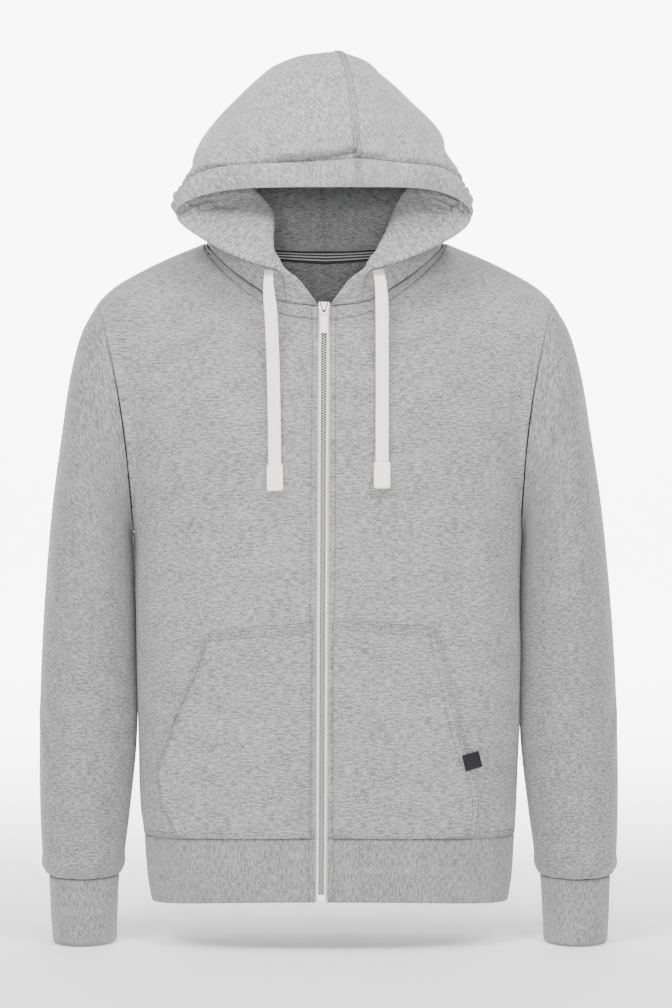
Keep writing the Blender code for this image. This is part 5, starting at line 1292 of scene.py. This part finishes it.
# Stitch rows from the top edge and from the open edge, and how far the shade under the open edge shows.
POCKET_TOP_ROWS = (0.0018, 0.0090)
MOUTH_ROWS = (0.0022, 0.0088)
MOUTH_SHADE = {"right": 0.0011, "left": 0.0003}
POCKET_WAVES = ((0.120, 0.9, 0.0006, 1.0), (0.075, 2.0, 0.0004, 2.0))
shade = bmesh.new()
pocket_rows = []
for side in SIDES:
    edges = POCKET_EDGES[side]
    heights = np.array([edge.height for edge in edges])
    rises = graded(0.0, 1.0, 72, 0.5)
    edge_z = heights[0] + (heights[-1] - heights[0]) * rises
    edge_x = through(heights, np.array([(edge.outer_x, 0.0) for edge in edges]), edge_z)[:, 0]
    foot = heights[0] + 0.0030
    centre_z = foot + (POCKET_TOP_CENTRE[side] - foot) * rises
    shares = graded(0.0, 1.0, 64, 0.55)
    x = POCKET_INNER_X + (edge_x[:, None] - POCKET_INNER_X) * shares[None, :]
    z = centre_z[:, None] + (edge_z - centre_z)[:, None] * shares[None, :]
    flat = np.stack([x, np.zeros_like(x), z], axis=-1)
    top = from_edge(flat, "top")
    inner = from_edge(flat, "first")
    foot_side = from_edge(flat, "bottom")
    mouth = from_edge(flat, "last")
    held = np.minimum(np.minimum(top, inner), foot_side)
    gape_z, gape_reach, gape = POCKET_GAPE[side]
    lift = POCKET_CLOTH + SEWN_GAP + (POCKET_GAP + POCKET_LOFT) * ease(held, 0.0, 0.012)
    lift = lift + TURNED_EDGE * (1.0 - ease(mouth, 0.0075, 0.0095)) * ease(held, 0.0, 0.004)
    lift = lift + MOUTH_LIP[side] * (1.0 - ease(mouth, 0.0, 0.010)) * ease(held, 0.0, 0.020)
    at_mouth = (1.0 - ease(mouth, 0.0, 0.030)) * ease(foot_side, 0.0, 0.03)
    lift = lift + gape * hump(z, gape_z, gape_reach) * at_mouth
    lift = lift + waves(x * SIDES[side], z, POCKET_WAVES) * ease(held, 0.004, 0.030)
    for away, rows in ((top, POCKET_TOP_ROWS), (mouth, MOUTH_ROWS)):
        for at in rows:
            lift = lift + stitch_line(away, at, 0.0005, 0.0011)
    grid = laid_on(trees[side], x, z, lift)
    wall = nose(np.minimum(top, mouth), POCKET_CLOTH / 2.0)
    knit = (x, z) if side == "left" else (-x[:, ::-1], z[:, ::-1])
    marks = [("top", POCKET_TOP_ROWS[0], {}), ("top", POCKET_TOP_ROWS[1], {}),
             ("top", sum(POCKET_TOP_ROWS) / 2.0, cover_bars(0.0056, 0.0007)),
             ("last", MOUTH_ROWS[0], {}), ("last", MOUTH_ROWS[1], {})]
    marks = [(line_on(side, edge_line(grid, edge, away)), settings) for edge, away, settings in marks]
    # The right pocket's gaping mouth shows one row of its two.
    pocket_rows += marks if side == "left" else marks[:4]
    # A dark strip under each open edge is painted shadow in the pocket's mouth.
    add_allowance(shade, seam_line(grid, "last", side == "right"), beyond=MOUTH_SHADE[side], depth=0.0010)
    grid, wall = on_side(side, grid, wall)
    piece = cloth("show_pocket_" + side, grid, BODY_CLOTH, thickness=POCKET_CLOTH, wall=wall, knit=knit)
    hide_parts("pocket_" + side)
piece = named_mesh("show_pocket_mouths", shade, THREAD_AND_SHADE)
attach(piece, "garment")
print("pockets")

# %% [markdown]
# The label is a small folded piece of black satin, caught in the pocket's slanted edge. It is left blank.

# %% Label
LABEL_X, LABEL_Z, LABEL_SIDE, LABEL_TILT = 0.1460, -0.534, 0.0165, -0.24
LABEL_LIFT, LABEL_LEAN, LABEL_WAVE = 0.0058, 0.0009, 0.0002
steps = np.linspace(-LABEL_SIDE / 2.0, LABEL_SIDE / 2.0, 15)
across, up = np.meshgrid(steps, steps)
label_x = LABEL_X + across + up * LABEL_TILT
label_z = LABEL_Z + up - across * LABEL_TILT
lifts = LABEL_LIFT - LABEL_LEAN * (across + 0.0083) / LABEL_SIDE + LABEL_WAVE * np.sin(up * 500.0)
label_grid = laid_on(trees["left"], label_x, label_z, lifts)
label_edge = np.minimum(LABEL_SIDE / 2.0 - np.abs(across), LABEL_SIDE / 2.0 - np.abs(up))
piece = cloth("show_pocket_label", label_grid, LABEL_BLACK, thickness=0.0011, wall=nose(label_edge, 0.0007))
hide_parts("pocket_label")

# %% [markdown]
# Two machine stitches do most of the work. A plain lockstitch shows as a row of short dashes, at the neck,
# the placket and the pockets. A cover stitch lies flat over a seam, two rows with threads across, as on the
# crown.

# %% Stitching
NECK_STITCHES = 0.0138
PLACKET_STITCHES = 0.0064
NECK_THREAD = {"length": 0.0031, "width": 0.0014}
HEM_ROWS = ((0.0018, {}), (0.0068, {}), (0.0043, cover_bars(0.0036)))
stitch_rows = []
for side in SIDES:
    front = fronts[side]
    rows = [(edge_line(front[:, FRONT_ACROSS <= 1.02], "top", NECK_STITCHES), NECK_THREAD),
            (edge_line(front, "first", PLACKET_STITCHES), {})]
    rows += [(edge_line(front, "bottom", away), settings) for away, settings in HEM_ROWS]
    rows.append((tunnel_lines[side], {"lift": 0.0003}))
    stitch_rows += [(line_on(side, line), settings) for line, settings in rows]
back_columns = np.abs(back_grid[-1, :, 0]) < NECK_HALF_WIDTH - 0.001
stitch_rows.append((edge_line(back_grid[:, back_columns], "top", NECK_STITCHES), {}))
stitch_rows += [(edge_line(back_grid, "bottom", away), settings) for away, settings in HEM_ROWS]
stitch_rows += [(edge_line(hem_grid, edge, PLACKET_STITCHES), {}) for edge in ("first", "last")]
stitch_rows += pocket_rows
piece = thread_piece("show_stitches", stitch_rows, THREAD_AND_SHADE)

# %% [markdown]
# Where two pieces are sewn together, their edges turn in side by side. What shows is the bottom of a narrow
# groove, so one thin strip under each seam is enough.

# %% Seam allowances
bm = bmesh.new()
for side in SIDES:
    mirror = side == "right"
    for edge in ("top", "last", "bottom"):
        add_allowance(bm, seam_line(fronts[side], edge, mirror))
    for edge in ("top", "last"):
        add_allowance(bm, seam_line(hood_grids[side], edge, mirror))
    add_allowance(bm, seam_line(sleeve_grids[side], "top", mirror), beyond=0.0008, depth=0.0007)
for edge in ("top", "first", "last", "bottom"):
    add_allowance(bm, seam_line(back_grid, edge))
piece = named_mesh("show_seam_allowances", bm, BODY_CLOTH)
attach(piece, "garment")

# %% [markdown]
# The hood's centre seam is covered by a flat stitch: a row on each side of it, and threads across between
# them. It runs from the face opening over the crown and down the back.

# %% Crown stitches
CROWN_ROW = 0.0034
crown_rows = []
for side in SIDES:
    grid = hood_grids[side]
    line = edge_line(grid, "top", CROWN_ROW)
    crown = (line[0][::-1], line[1][::-1])
    rear = edge_line(grid[grid.shape[0] // 4:], "last", CROWN_ROW)
    middle = edge_line(grid, "top", CROWN_ROW / 2.0)
    for row, settings in ((crown, {}), (rear, {}), (middle, cover_bars(0.0030))):
        crown_rows.append((line_on(side, row), settings))
piece = thread_piece("show_crown_stitches", crown_rows, THREAD_AND_SHADE)
print("stitches")

# %% [markdown]
# The zip has two woven tapes, each with a beaded edge that its row of metal teeth is clamped on. They lie
# behind the fronts' folded edges and follow their depth from the hem to the neck, so the curve of the front
# is read from the cloth itself.

# %% Zip tapes
TAPE_INNER_X, TAPE_OUTER_X = 0.0024, 0.0150
BEAD_HEIGHT = 0.0019

zip_points = np.concatenate([hem_grid[:-1, 0], fronts["left"][:, 0]])
order = np.argsort(zip_points[:, 2])
ZIP_Z = zip_points[order, 2]
ZIP_Y = zip_points[order, 1]
HEM_FOOT = HEM_RINGS[0].height + HEM_RINGS[0].front_lift


def zip_depth(z):
    """How far forward the cloth's outer face lies at the zip edge, at a height."""
    return np.interp(z, ZIP_Z, ZIP_Y)


tape_z = np.linspace(HEM_FOOT, ZIP_TOP, 220)
for side, sign in SIDES.items():
    tape_x = sign * np.linspace(TAPE_INNER_X, TAPE_OUTER_X, 20)[::int(sign)]
    bead = BEAD_HEIGHT * (1.0 - ease(np.abs(tape_x), 0.0040, 0.0060))
    x = np.broadcast_to(tape_x[None, :], (len(tape_z), len(tape_x)))
    y = zip_depth(tape_z)[:, None] + RIB_CLOTH + 0.0005 - bead[None, :]
    grid = np.stack([x, y, np.broadcast_to(tape_z[:, None], x.shape)], axis=-1)
    piece = cloth("show_zip_tape_" + side, grid, CREAM_TAPE, thickness=0.0008)
    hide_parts("zip_tape_" + side)


# %% [markdown]
# Teeth keep an even pitch, and the two rows fit between each other. Each tooth is a bevelled box of its own,
# because the gaps between them are what make it look like a zip. A dark strip behind stands for the shade
# in those fine gaps.

# %% Zip teeth
TOOTH_SIZE = (0.0035, 0.0026, 0.0011)
TOOTH_X = 0.0014
TOOTH_EASING = 0.00016
SHADE_STRIP_HALF_WIDTH, SHADE_STRIP_DEPTH, SHADE_STRIP_THICKNESS, SHADE_STRIP_STEP = 0.0025, 0.0016, 0.0006, 0.004


def add_box(bm, middle, size, turn=None):
    """A box of a given size round its middle, turned about it if asked."""
    place = Matrix.Translation(Vector(middle)) @ (turn or Matrix.Identity(4)) @ Matrix.Diagonal((*size, 1.0))
    bmesh.ops.create_cube(bm, size=1.0, matrix=place)


def ease_edges(bm, easing, segments=1):
    """A small round on every edge, as a cast or stamped piece has."""
    bmesh.ops.bevel(bm, geom=bm.edges, offset=easing, offset_type="OFFSET", segments=segments, profile=0.5,
                    affect="EDGES", material=-1)


for side, sign in SIDES.items():
    bm = bmesh.new()
    start = ZIP_BOX_TOP + 0.0010 + (TOOTH_PITCH / 2.0 if sign < 0.0 else 0.0)
    for z in np.arange(start, SLIDER_BOTTOM - 0.0012, TOOTH_PITCH):
        add_box(bm, settle(np.array((sign * TOOTH_X, zip_depth(z) + 0.0010, z))), TOOTH_SIZE)
    ease_edges(bm, TOOTH_EASING)
    bm.normal_update()
    # Faces other than the front take painted shade, for the gaps between the teeth.
    for face in bm.faces:
        face.material_index = 0 if face.normal.y < -0.5 else 1
    piece = named_mesh("show_zip_teeth_" + side, bm, TOOTH_METAL)
    piece.data.materials.append(TOOTH_SIDE_SHADE)
    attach(piece, "garment")
    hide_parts("zip_teeth_" + side)

# The strip behind the teeth is painted shade, not a part of the zip.
shade_strip_z = np.arange(ZIP_BOX_TOP, SLIDER_BOTTOM, SHADE_STRIP_STEP)
shade_strip_y = zip_depth(shade_strip_z) + SHADE_STRIP_DEPTH
corners = [np.stack([np.full_like(shade_strip_z, x * SHADE_STRIP_HALF_WIDTH), shade_strip_y + back * SHADE_STRIP_THICKNESS, shade_strip_z],
                    axis=1) for x, back in ((-1.0, 0.0), (1.0, 0.0), (1.0, 1.0), (-1.0, 1.0))]
piece = tube("show_zip_core", np.stack(corners, axis=1), GAP_SHADE_PAINT)
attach(piece, "garment")


# %% [markdown]
# At the foot of the zip, a box holds the two sides together until they are pulled apart. It is a plain block
# here, with small rounds on its edges.

# %% Zip box
BOX_HALF_WIDTH = 0.0046


def eased_box(low, high, easing, segments=2):
    """A new bmesh with one box between two corners, its edges rounded."""
    bm = bmesh.new()
    low, high = np.array(low), np.array(high)
    add_box(bm, (low + high) / 2.0, high - low)
    ease_edges(bm, easing, segments)
    return bm


middle = settle(np.array((0.0, zip_depth(ZIP_BOX_TOP), (HEM_FOOT + ZIP_BOX_TOP) / 2.0)))
bm = eased_box((middle[0] - BOX_HALF_WIDTH, zip_depth(HEM_FOOT) - 0.0014, HEM_FOOT + 0.0002),
               (middle[0] + BOX_HALF_WIDTH, zip_depth(ZIP_BOX_TOP) + 0.0030, ZIP_BOX_TOP - 0.0001), 0.0006)
piece = named_mesh("show_zip_box", bm, CREAM_LACQUER)
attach(piece, "garment")
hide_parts("zip_bottom_box")

# %% [markdown]
# The slider is a cast body with a flared top, where the two rows of teeth run in. Two ears hold a pin, and
# two slanted grooves mark its front. Exact booleans cut and join the small shapes, as a caster's mould would.

# %% Slider
SLIDER_HALF_WIDTH, SLIDER_FLARE = 0.0047, 1.18
GROOVE_SIZE, GROOVE_X, GROOVE_TURN = (0.0010, 0.0022, 0.0098), 0.0024, math.radians(17.0)
WINDOW_HALF_WIDTH = 0.0016
EAR_INNER_X, EAR_OUTER_X = 0.0027, 0.0038
PIN_RADIUS, PIN_LENGTH = 0.0007, 0.0066

front_y = float(zip_depth(TAB_PIVOT_HEIGHT))
PIVOT = settle(np.array((0.0, front_y - PIVOT_STANDOFF, TAB_PIVOT_HEIGHT)))


def rod(name, radius, length, segments, material):
    """A round rod along the pin's line."""
    bm = bmesh.new()
    place = Matrix.Translation(Vector(PIVOT)) @ Matrix.Rotation(math.radians(90.0), 4, "Y")
    bmesh.ops.create_cone(bm, cap_ends=True, segments=segments, radius1=radius, radius2=radius, depth=length,
                          matrix=place)
    return named_mesh(name, bm, material)


bm = eased_box((PIVOT[0] - SLIDER_HALF_WIDTH, front_y - 0.0030, SLIDER_BOTTOM),
               (PIVOT[0] + SLIDER_HALF_WIDTH, front_y + 0.0022, SLIDER_TOP), 0.0008)
for vert in bm.verts:
    flare = SLIDER_FLARE if vert.co.z > (SLIDER_TOP + SLIDER_BOTTOM) / 2.0 else 1.0
    vert.co.x = PIVOT[0] + (vert.co.x - PIVOT[0]) * flare
slider = named_mesh("show_slider", bm, CREAM_LACQUER)
slider.data.materials.append(ZIP_METAL)
tools = []
# The faces that the grooves and the window cut take the painted shade of the tools' material.
for sign in (-1.0, 1.0):
    bm = bmesh.new()
    add_box(bm, (PIVOT[0] + sign * GROOVE_X, front_y - 0.0031, SLIDER_TOP - 0.0052), GROOVE_SIZE,
            Matrix.Rotation(sign * GROOVE_TURN, 4, "Y"))
    tools.append((named_mesh("slider_groove_tool", bm, GAP_SHADE_PAINT), "DIFFERENCE"))
bm = eased_box((PIVOT[0] - WINDOW_HALF_WIDTH, front_y - 0.0042, TAB_PIVOT_HEIGHT + 0.0010),
               (PIVOT[0] + WINDOW_HALF_WIDTH, front_y - 0.0016, TAB_PIVOT_HEIGHT + 0.0041), 0.0002, 1)
tools.append((named_mesh("slider_window_tool", bm, GAP_SHADE_PAINT), "DIFFERENCE"))
for sign in (-1.0, 1.0):
    edges = sorted((PIVOT[0] + sign * EAR_INNER_X, PIVOT[0] + sign * EAR_OUTER_X))
    bm = eased_box((edges[0], PIVOT[1] - 0.0013, TAB_PIVOT_HEIGHT - 0.0014),
                   (edges[1], front_y - 0.0020, TAB_PIVOT_HEIGHT + 0.0030), 0.0003)
    tools.append((named_mesh("slider_ear_tool", bm, CREAM_LACQUER), "UNION"))
tools.append((rod("slider_pin_tool", PIN_RADIUS, PIN_LENGTH, 20, ZIP_METAL), "UNION"))


def carved(piece, tools):
    """Cut and join tools exactly, write the result into the piece and remove the tools."""
    for tool, operation in tools:
        step = piece.modifiers.new(tool.name, "BOOLEAN")
        step.operation = operation
        step.object = tool
        step.solver = "EXACT"
        step.material_mode = "TRANSFER"
    bpy.context.view_layer.update()
    shaped = bpy.data.meshes.new_from_object(piece.evaluated_get(bpy.context.evaluated_depsgraph_get()))
    piece.modifiers.clear()
    piece.data = shaped
    shaped.shade_smooth()
    shaped.set_sharp_from_angle(angle=math.radians(35.0))
    for tool, _ in tools:
        bpy.data.objects.remove(tool, do_unlink=True)


carved(slider, tools)
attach(slider, "garment")
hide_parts("zip_slider")

# %% [markdown]
# The pull tab is a flat lacquered tongue with a round barrel at its top, which the pin runs through. It
# turns about that pin, so it is a piece on a body of its own, and its sizes are taken from the pin. It is
# left plain.

# %% Pull tab
TAB_HALF_WIDTH, TAB_HALF_THICKNESS, TAB_LENGTH = 0.0042, 0.00075, 0.0190
TAB_TAPER_START, TAB_TAPER_LENGTH, TAB_TAPER = 0.0120, 0.0070, 0.10
bm = eased_box((-TAB_HALF_WIDTH, -TAB_HALF_THICKNESS, -TAB_LENGTH),
               (TAB_HALF_WIDTH, TAB_HALF_THICKNESS, -0.0029), 0.0005)
for vert in bm.verts:
    low = min(max((-TAB_TAPER_START - vert.co.z) / TAB_TAPER_LENGTH, 0.0), 1.0)
    vert.co.x *= 1.0 - TAB_TAPER * low ** 2
bmesh.ops.translate(bm, verts=bm.verts, vec=Vector(PIVOT))
tab = named_mesh("show_pull_tab", bm, CREAM_LACQUER)
bm = eased_box((-0.0022, -TAB_HALF_THICKNESS, -0.0039), (0.0022, TAB_HALF_THICKNESS, -0.0004), 0.0002, 1)
bmesh.ops.translate(bm, verts=bm.verts, vec=Vector(PIVOT))
stem = named_mesh("tab_stem_tool", bm, CREAM_LACQUER)
barrel = rod("tab_rod_tool", 0.0019, 0.0044, 24, CREAM_LACQUER)
bore = rod("tab_rod_tool", 0.0010, 0.0120, 24, CREAM_LACQUER)
carved(tab, [(stem, "UNION"), (barrel, "UNION"), (bore, "DIFFERENCE")])
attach(tab, "pull_tab")
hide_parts("zip_pull_tab")
print("zip")

# %% [markdown]
# The drawcords are flat woven tubes of cotton. They come out of the tunnel through small openings and hang
# free. Each end is bound round with the same yarn, so that it doesn't fray.

# %% Drawcords
def oval_rings(points, width, thickness, squareness=0.62, sides=28):
    """Flat oval sections along a line of points, broad side to the front."""
    run = unit(np.gradient(points, axis=0))
    depth = unit(np.cross(np.array((1.0, 0.0, 0.0)), run))
    across = np.cross(run, depth)
    turn = np.linspace(0.0, 2.0 * math.pi, sides, endpoint=False)
    x = np.sign(np.cos(turn)) * np.abs(np.cos(turn)) ** squareness / 2.0
    y = np.sign(np.sin(turn)) * np.abs(np.sin(turn)) ** squareness / 2.0
    width = np.broadcast_to(width, (len(points),))
    thickness = np.broadcast_to(thickness, (len(points),))
    return (points[:, None] + across[:, None] * (width[:, None] * x)[..., None]
            + depth[:, None] * (thickness[:, None] * y)[..., None])


# At the top a cord is tucked back under the hood's band and pinched narrower by the cloth round it.
CORD_TUCK = np.array((0.0, 0.0060, 0.0))
CORD_TUCK_LENGTH = 0.0120
CORD_PINCH = {"right": 0.30, "left": 0.12}
CORD_PINCH_LENGTH = 0.040
# The yarn bound round an end: its pitch, and how deep its turns are, as a share of the end's thickness.
WRAP_PITCH = 0.00106
WRAP_DEPTH = 0.045
CORD_STEPS, END_STEPS = 90, 106
for side in SIDES:
    stops = np.array(CORD_ROUTES[side])
    keys = length_along(stops)
    down = np.linspace(0.0, keys[-1], CORD_STEPS)
    points = through(keys, stops, down)
    run = unit(points[-1] - points[-2])
    tucked = points + CORD_TUCK * (1.0 - ease(down, 0.0, CORD_TUCK_LENGTH))[:, None]
    widths = CORD_WIDTH * (1.0 - CORD_PINCH[side] * (1.0 - ease(down, 0.0, CORD_PINCH_LENGTH)))
    rings = oval_rings(tucked, widths, CORD_THICKNESS)
    cord = tube("show_drawcord_" + side, rings, CREAM_WEAVE)
    steps = np.linspace(0.0, CORD_END_LENGTH, END_STEPS)
    ends = points[-1] + run * steps[:, None]
    rounded = nose(np.minimum(steps * 3.0, CORD_END_LENGTH - steps), 0.0034) ** 0.5
    wraps = 1.0 - WRAP_DEPTH * (0.5 + 0.5 * np.cos(2.0 * math.pi * steps / WRAP_PITCH))
    widths = CORD_END_WIDTH * (1.0 - 0.45 * (1.0 - rounded))
    rings = oval_rings(ends, widths, CORD_END_THICKNESS * rounded * wraps)
    end = tube("show_drawcord_end_" + side, rings, CREAM_COTTON)
    for piece, replaced in ((cord, "drawcord_"), (end, "drawcord_end_")):
        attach(piece, "garment")
        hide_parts(replaced + side)
    line = settle(points)

# %% [markdown]
# A plain white sheet runs under the garment and curves up far behind it. It glows with painted light, weak in
# front of the garment and strong far behind it, so it takes the shadow under the hem and cuffs in front and
# is white beyond. Two lamps stand high at the sides and one above, which models the cloth softly. A small one
# stands low in front, so that some light reaches into the hood. Weak light from all around fills the rest.

# %% Floor, light and camera
FLOOR_HEIGHT = -0.7290
SWEEP_HALF, SWEEP_START, SWEEP_RADIUS, SWEEP_TOP = 5.0, 5.2, 1.2, 4.2
turns = np.linspace(0.0, math.pi / 2.0, 25)
profile = [(-SWEEP_HALF, FLOOR_HEIGHT)]
profile += [(SWEEP_START + SWEEP_RADIUS * math.sin(turn),
             FLOOR_HEIGHT + SWEEP_RADIUS * (1.0 - math.cos(turn))) for turn in turns]
profile.append((SWEEP_START + SWEEP_RADIUS, SWEEP_TOP))
bm = bmesh.new()
bmesh.ops.create_grid(bm, x_segments=1, y_segments=len(profile) - 1, size=SWEEP_HALF)
for vert in bm.verts:
    row = int(round((vert.co.y + SWEEP_HALF) / (2.0 * SWEEP_HALF) * (len(profile) - 1)))
    vert.co.y, vert.co.z = profile[row]
SWEEP_PAINTED_GLOW = plain_material("sweep_white_painted_glow", (0.92, 0.92, 0.92), 0.9)
tree = SWEEP_PAINTED_GLOW.node_tree
shader = tree.nodes["Principled BSDF"]
place = node(tree, "ShaderNodeTexCoord", (-900, 0))
parts = node(tree, "ShaderNodeSeparateXYZ", (-540, 0))
link(tree, place.outputs["Object"], parts.inputs["Vector"])
# Painted light: the glow rises from weak in front of the garment to strong far behind it.
glow = node(tree, "ShaderNodeMapRange", (-360, 0),
            {"From Min": -0.20, "From Max": 2.4, "To Min": 0.20, "To Max": 6.0},
            interpolation_type="SMOOTHSTEP")
link(tree, parts.outputs["Y"], glow.inputs["Value"])
set_sockets(shader, {"Emission Color": (1.0, 1.0, 1.0, 1.0)})
link(tree, glow.outputs["Result"], shader.inputs["Emission Strength"])
named_mesh("sweep", bm, SWEEP_PAINTED_GLOW)

world = bpy.data.worlds.new("studio")
bpy.context.scene.world = world
world.use_nodes = True
set_sockets(world.node_tree.nodes["Background"], {"Color": (1.0, 1.0, 1.0, 1.0), "Strength": 0.16})


def area_light(name, place, aim, size, power):
    light = bpy.data.lights.new(name, "AREA")
    light.shape = "RECTANGLE"
    light.size, light.size_y = size
    light.energy = power
    lamp = bpy.data.objects.new(name, light)
    lamp.location = place
    lamp.rotation_euler = (Vector(aim) - Vector(place)).to_track_quat("-Z", "Y").to_euler()
    bpy.context.scene.collection.objects.link(lamp)
    return lamp


HOOD_FOOT = (0.0, 0.0, -0.05)
area_light("right_light", (-1.2, -1.8, 2.1), HOOD_FOOT, (1.1, 1.1), 96.0)
area_light("left_light", (1.2, -1.8, 2.1), HOOD_FOOT, (1.1, 1.1), 80.0)
area_light("front_light", (0.0, -3.2, -0.15), HOOD_FOOT, (0.7, 0.5), 66.0)
area_light("top_light", (0.0, -0.4, 2.5), (0.0, 0.0, -0.2), (1.6, 1.6), 48.0)

CAMERA_PLACE = (0.0116, -2.6, -0.274)
LENS, SENSOR_HEIGHT = 88.4, 36.0
camera_data = bpy.data.cameras.new("front_camera")
camera_data.sensor_fit = "VERTICAL"
camera_data.sensor_height = SENSOR_HEIGHT
camera_data.lens = LENS
camera = bpy.data.objects.new("front_camera", camera_data)
camera.location = CAMERA_PLACE
camera.rotation_euler = (math.radians(90.0), 0.0, 0.0)
bpy.context.scene.collection.objects.link(camera)
bpy.context.scene.camera = camera
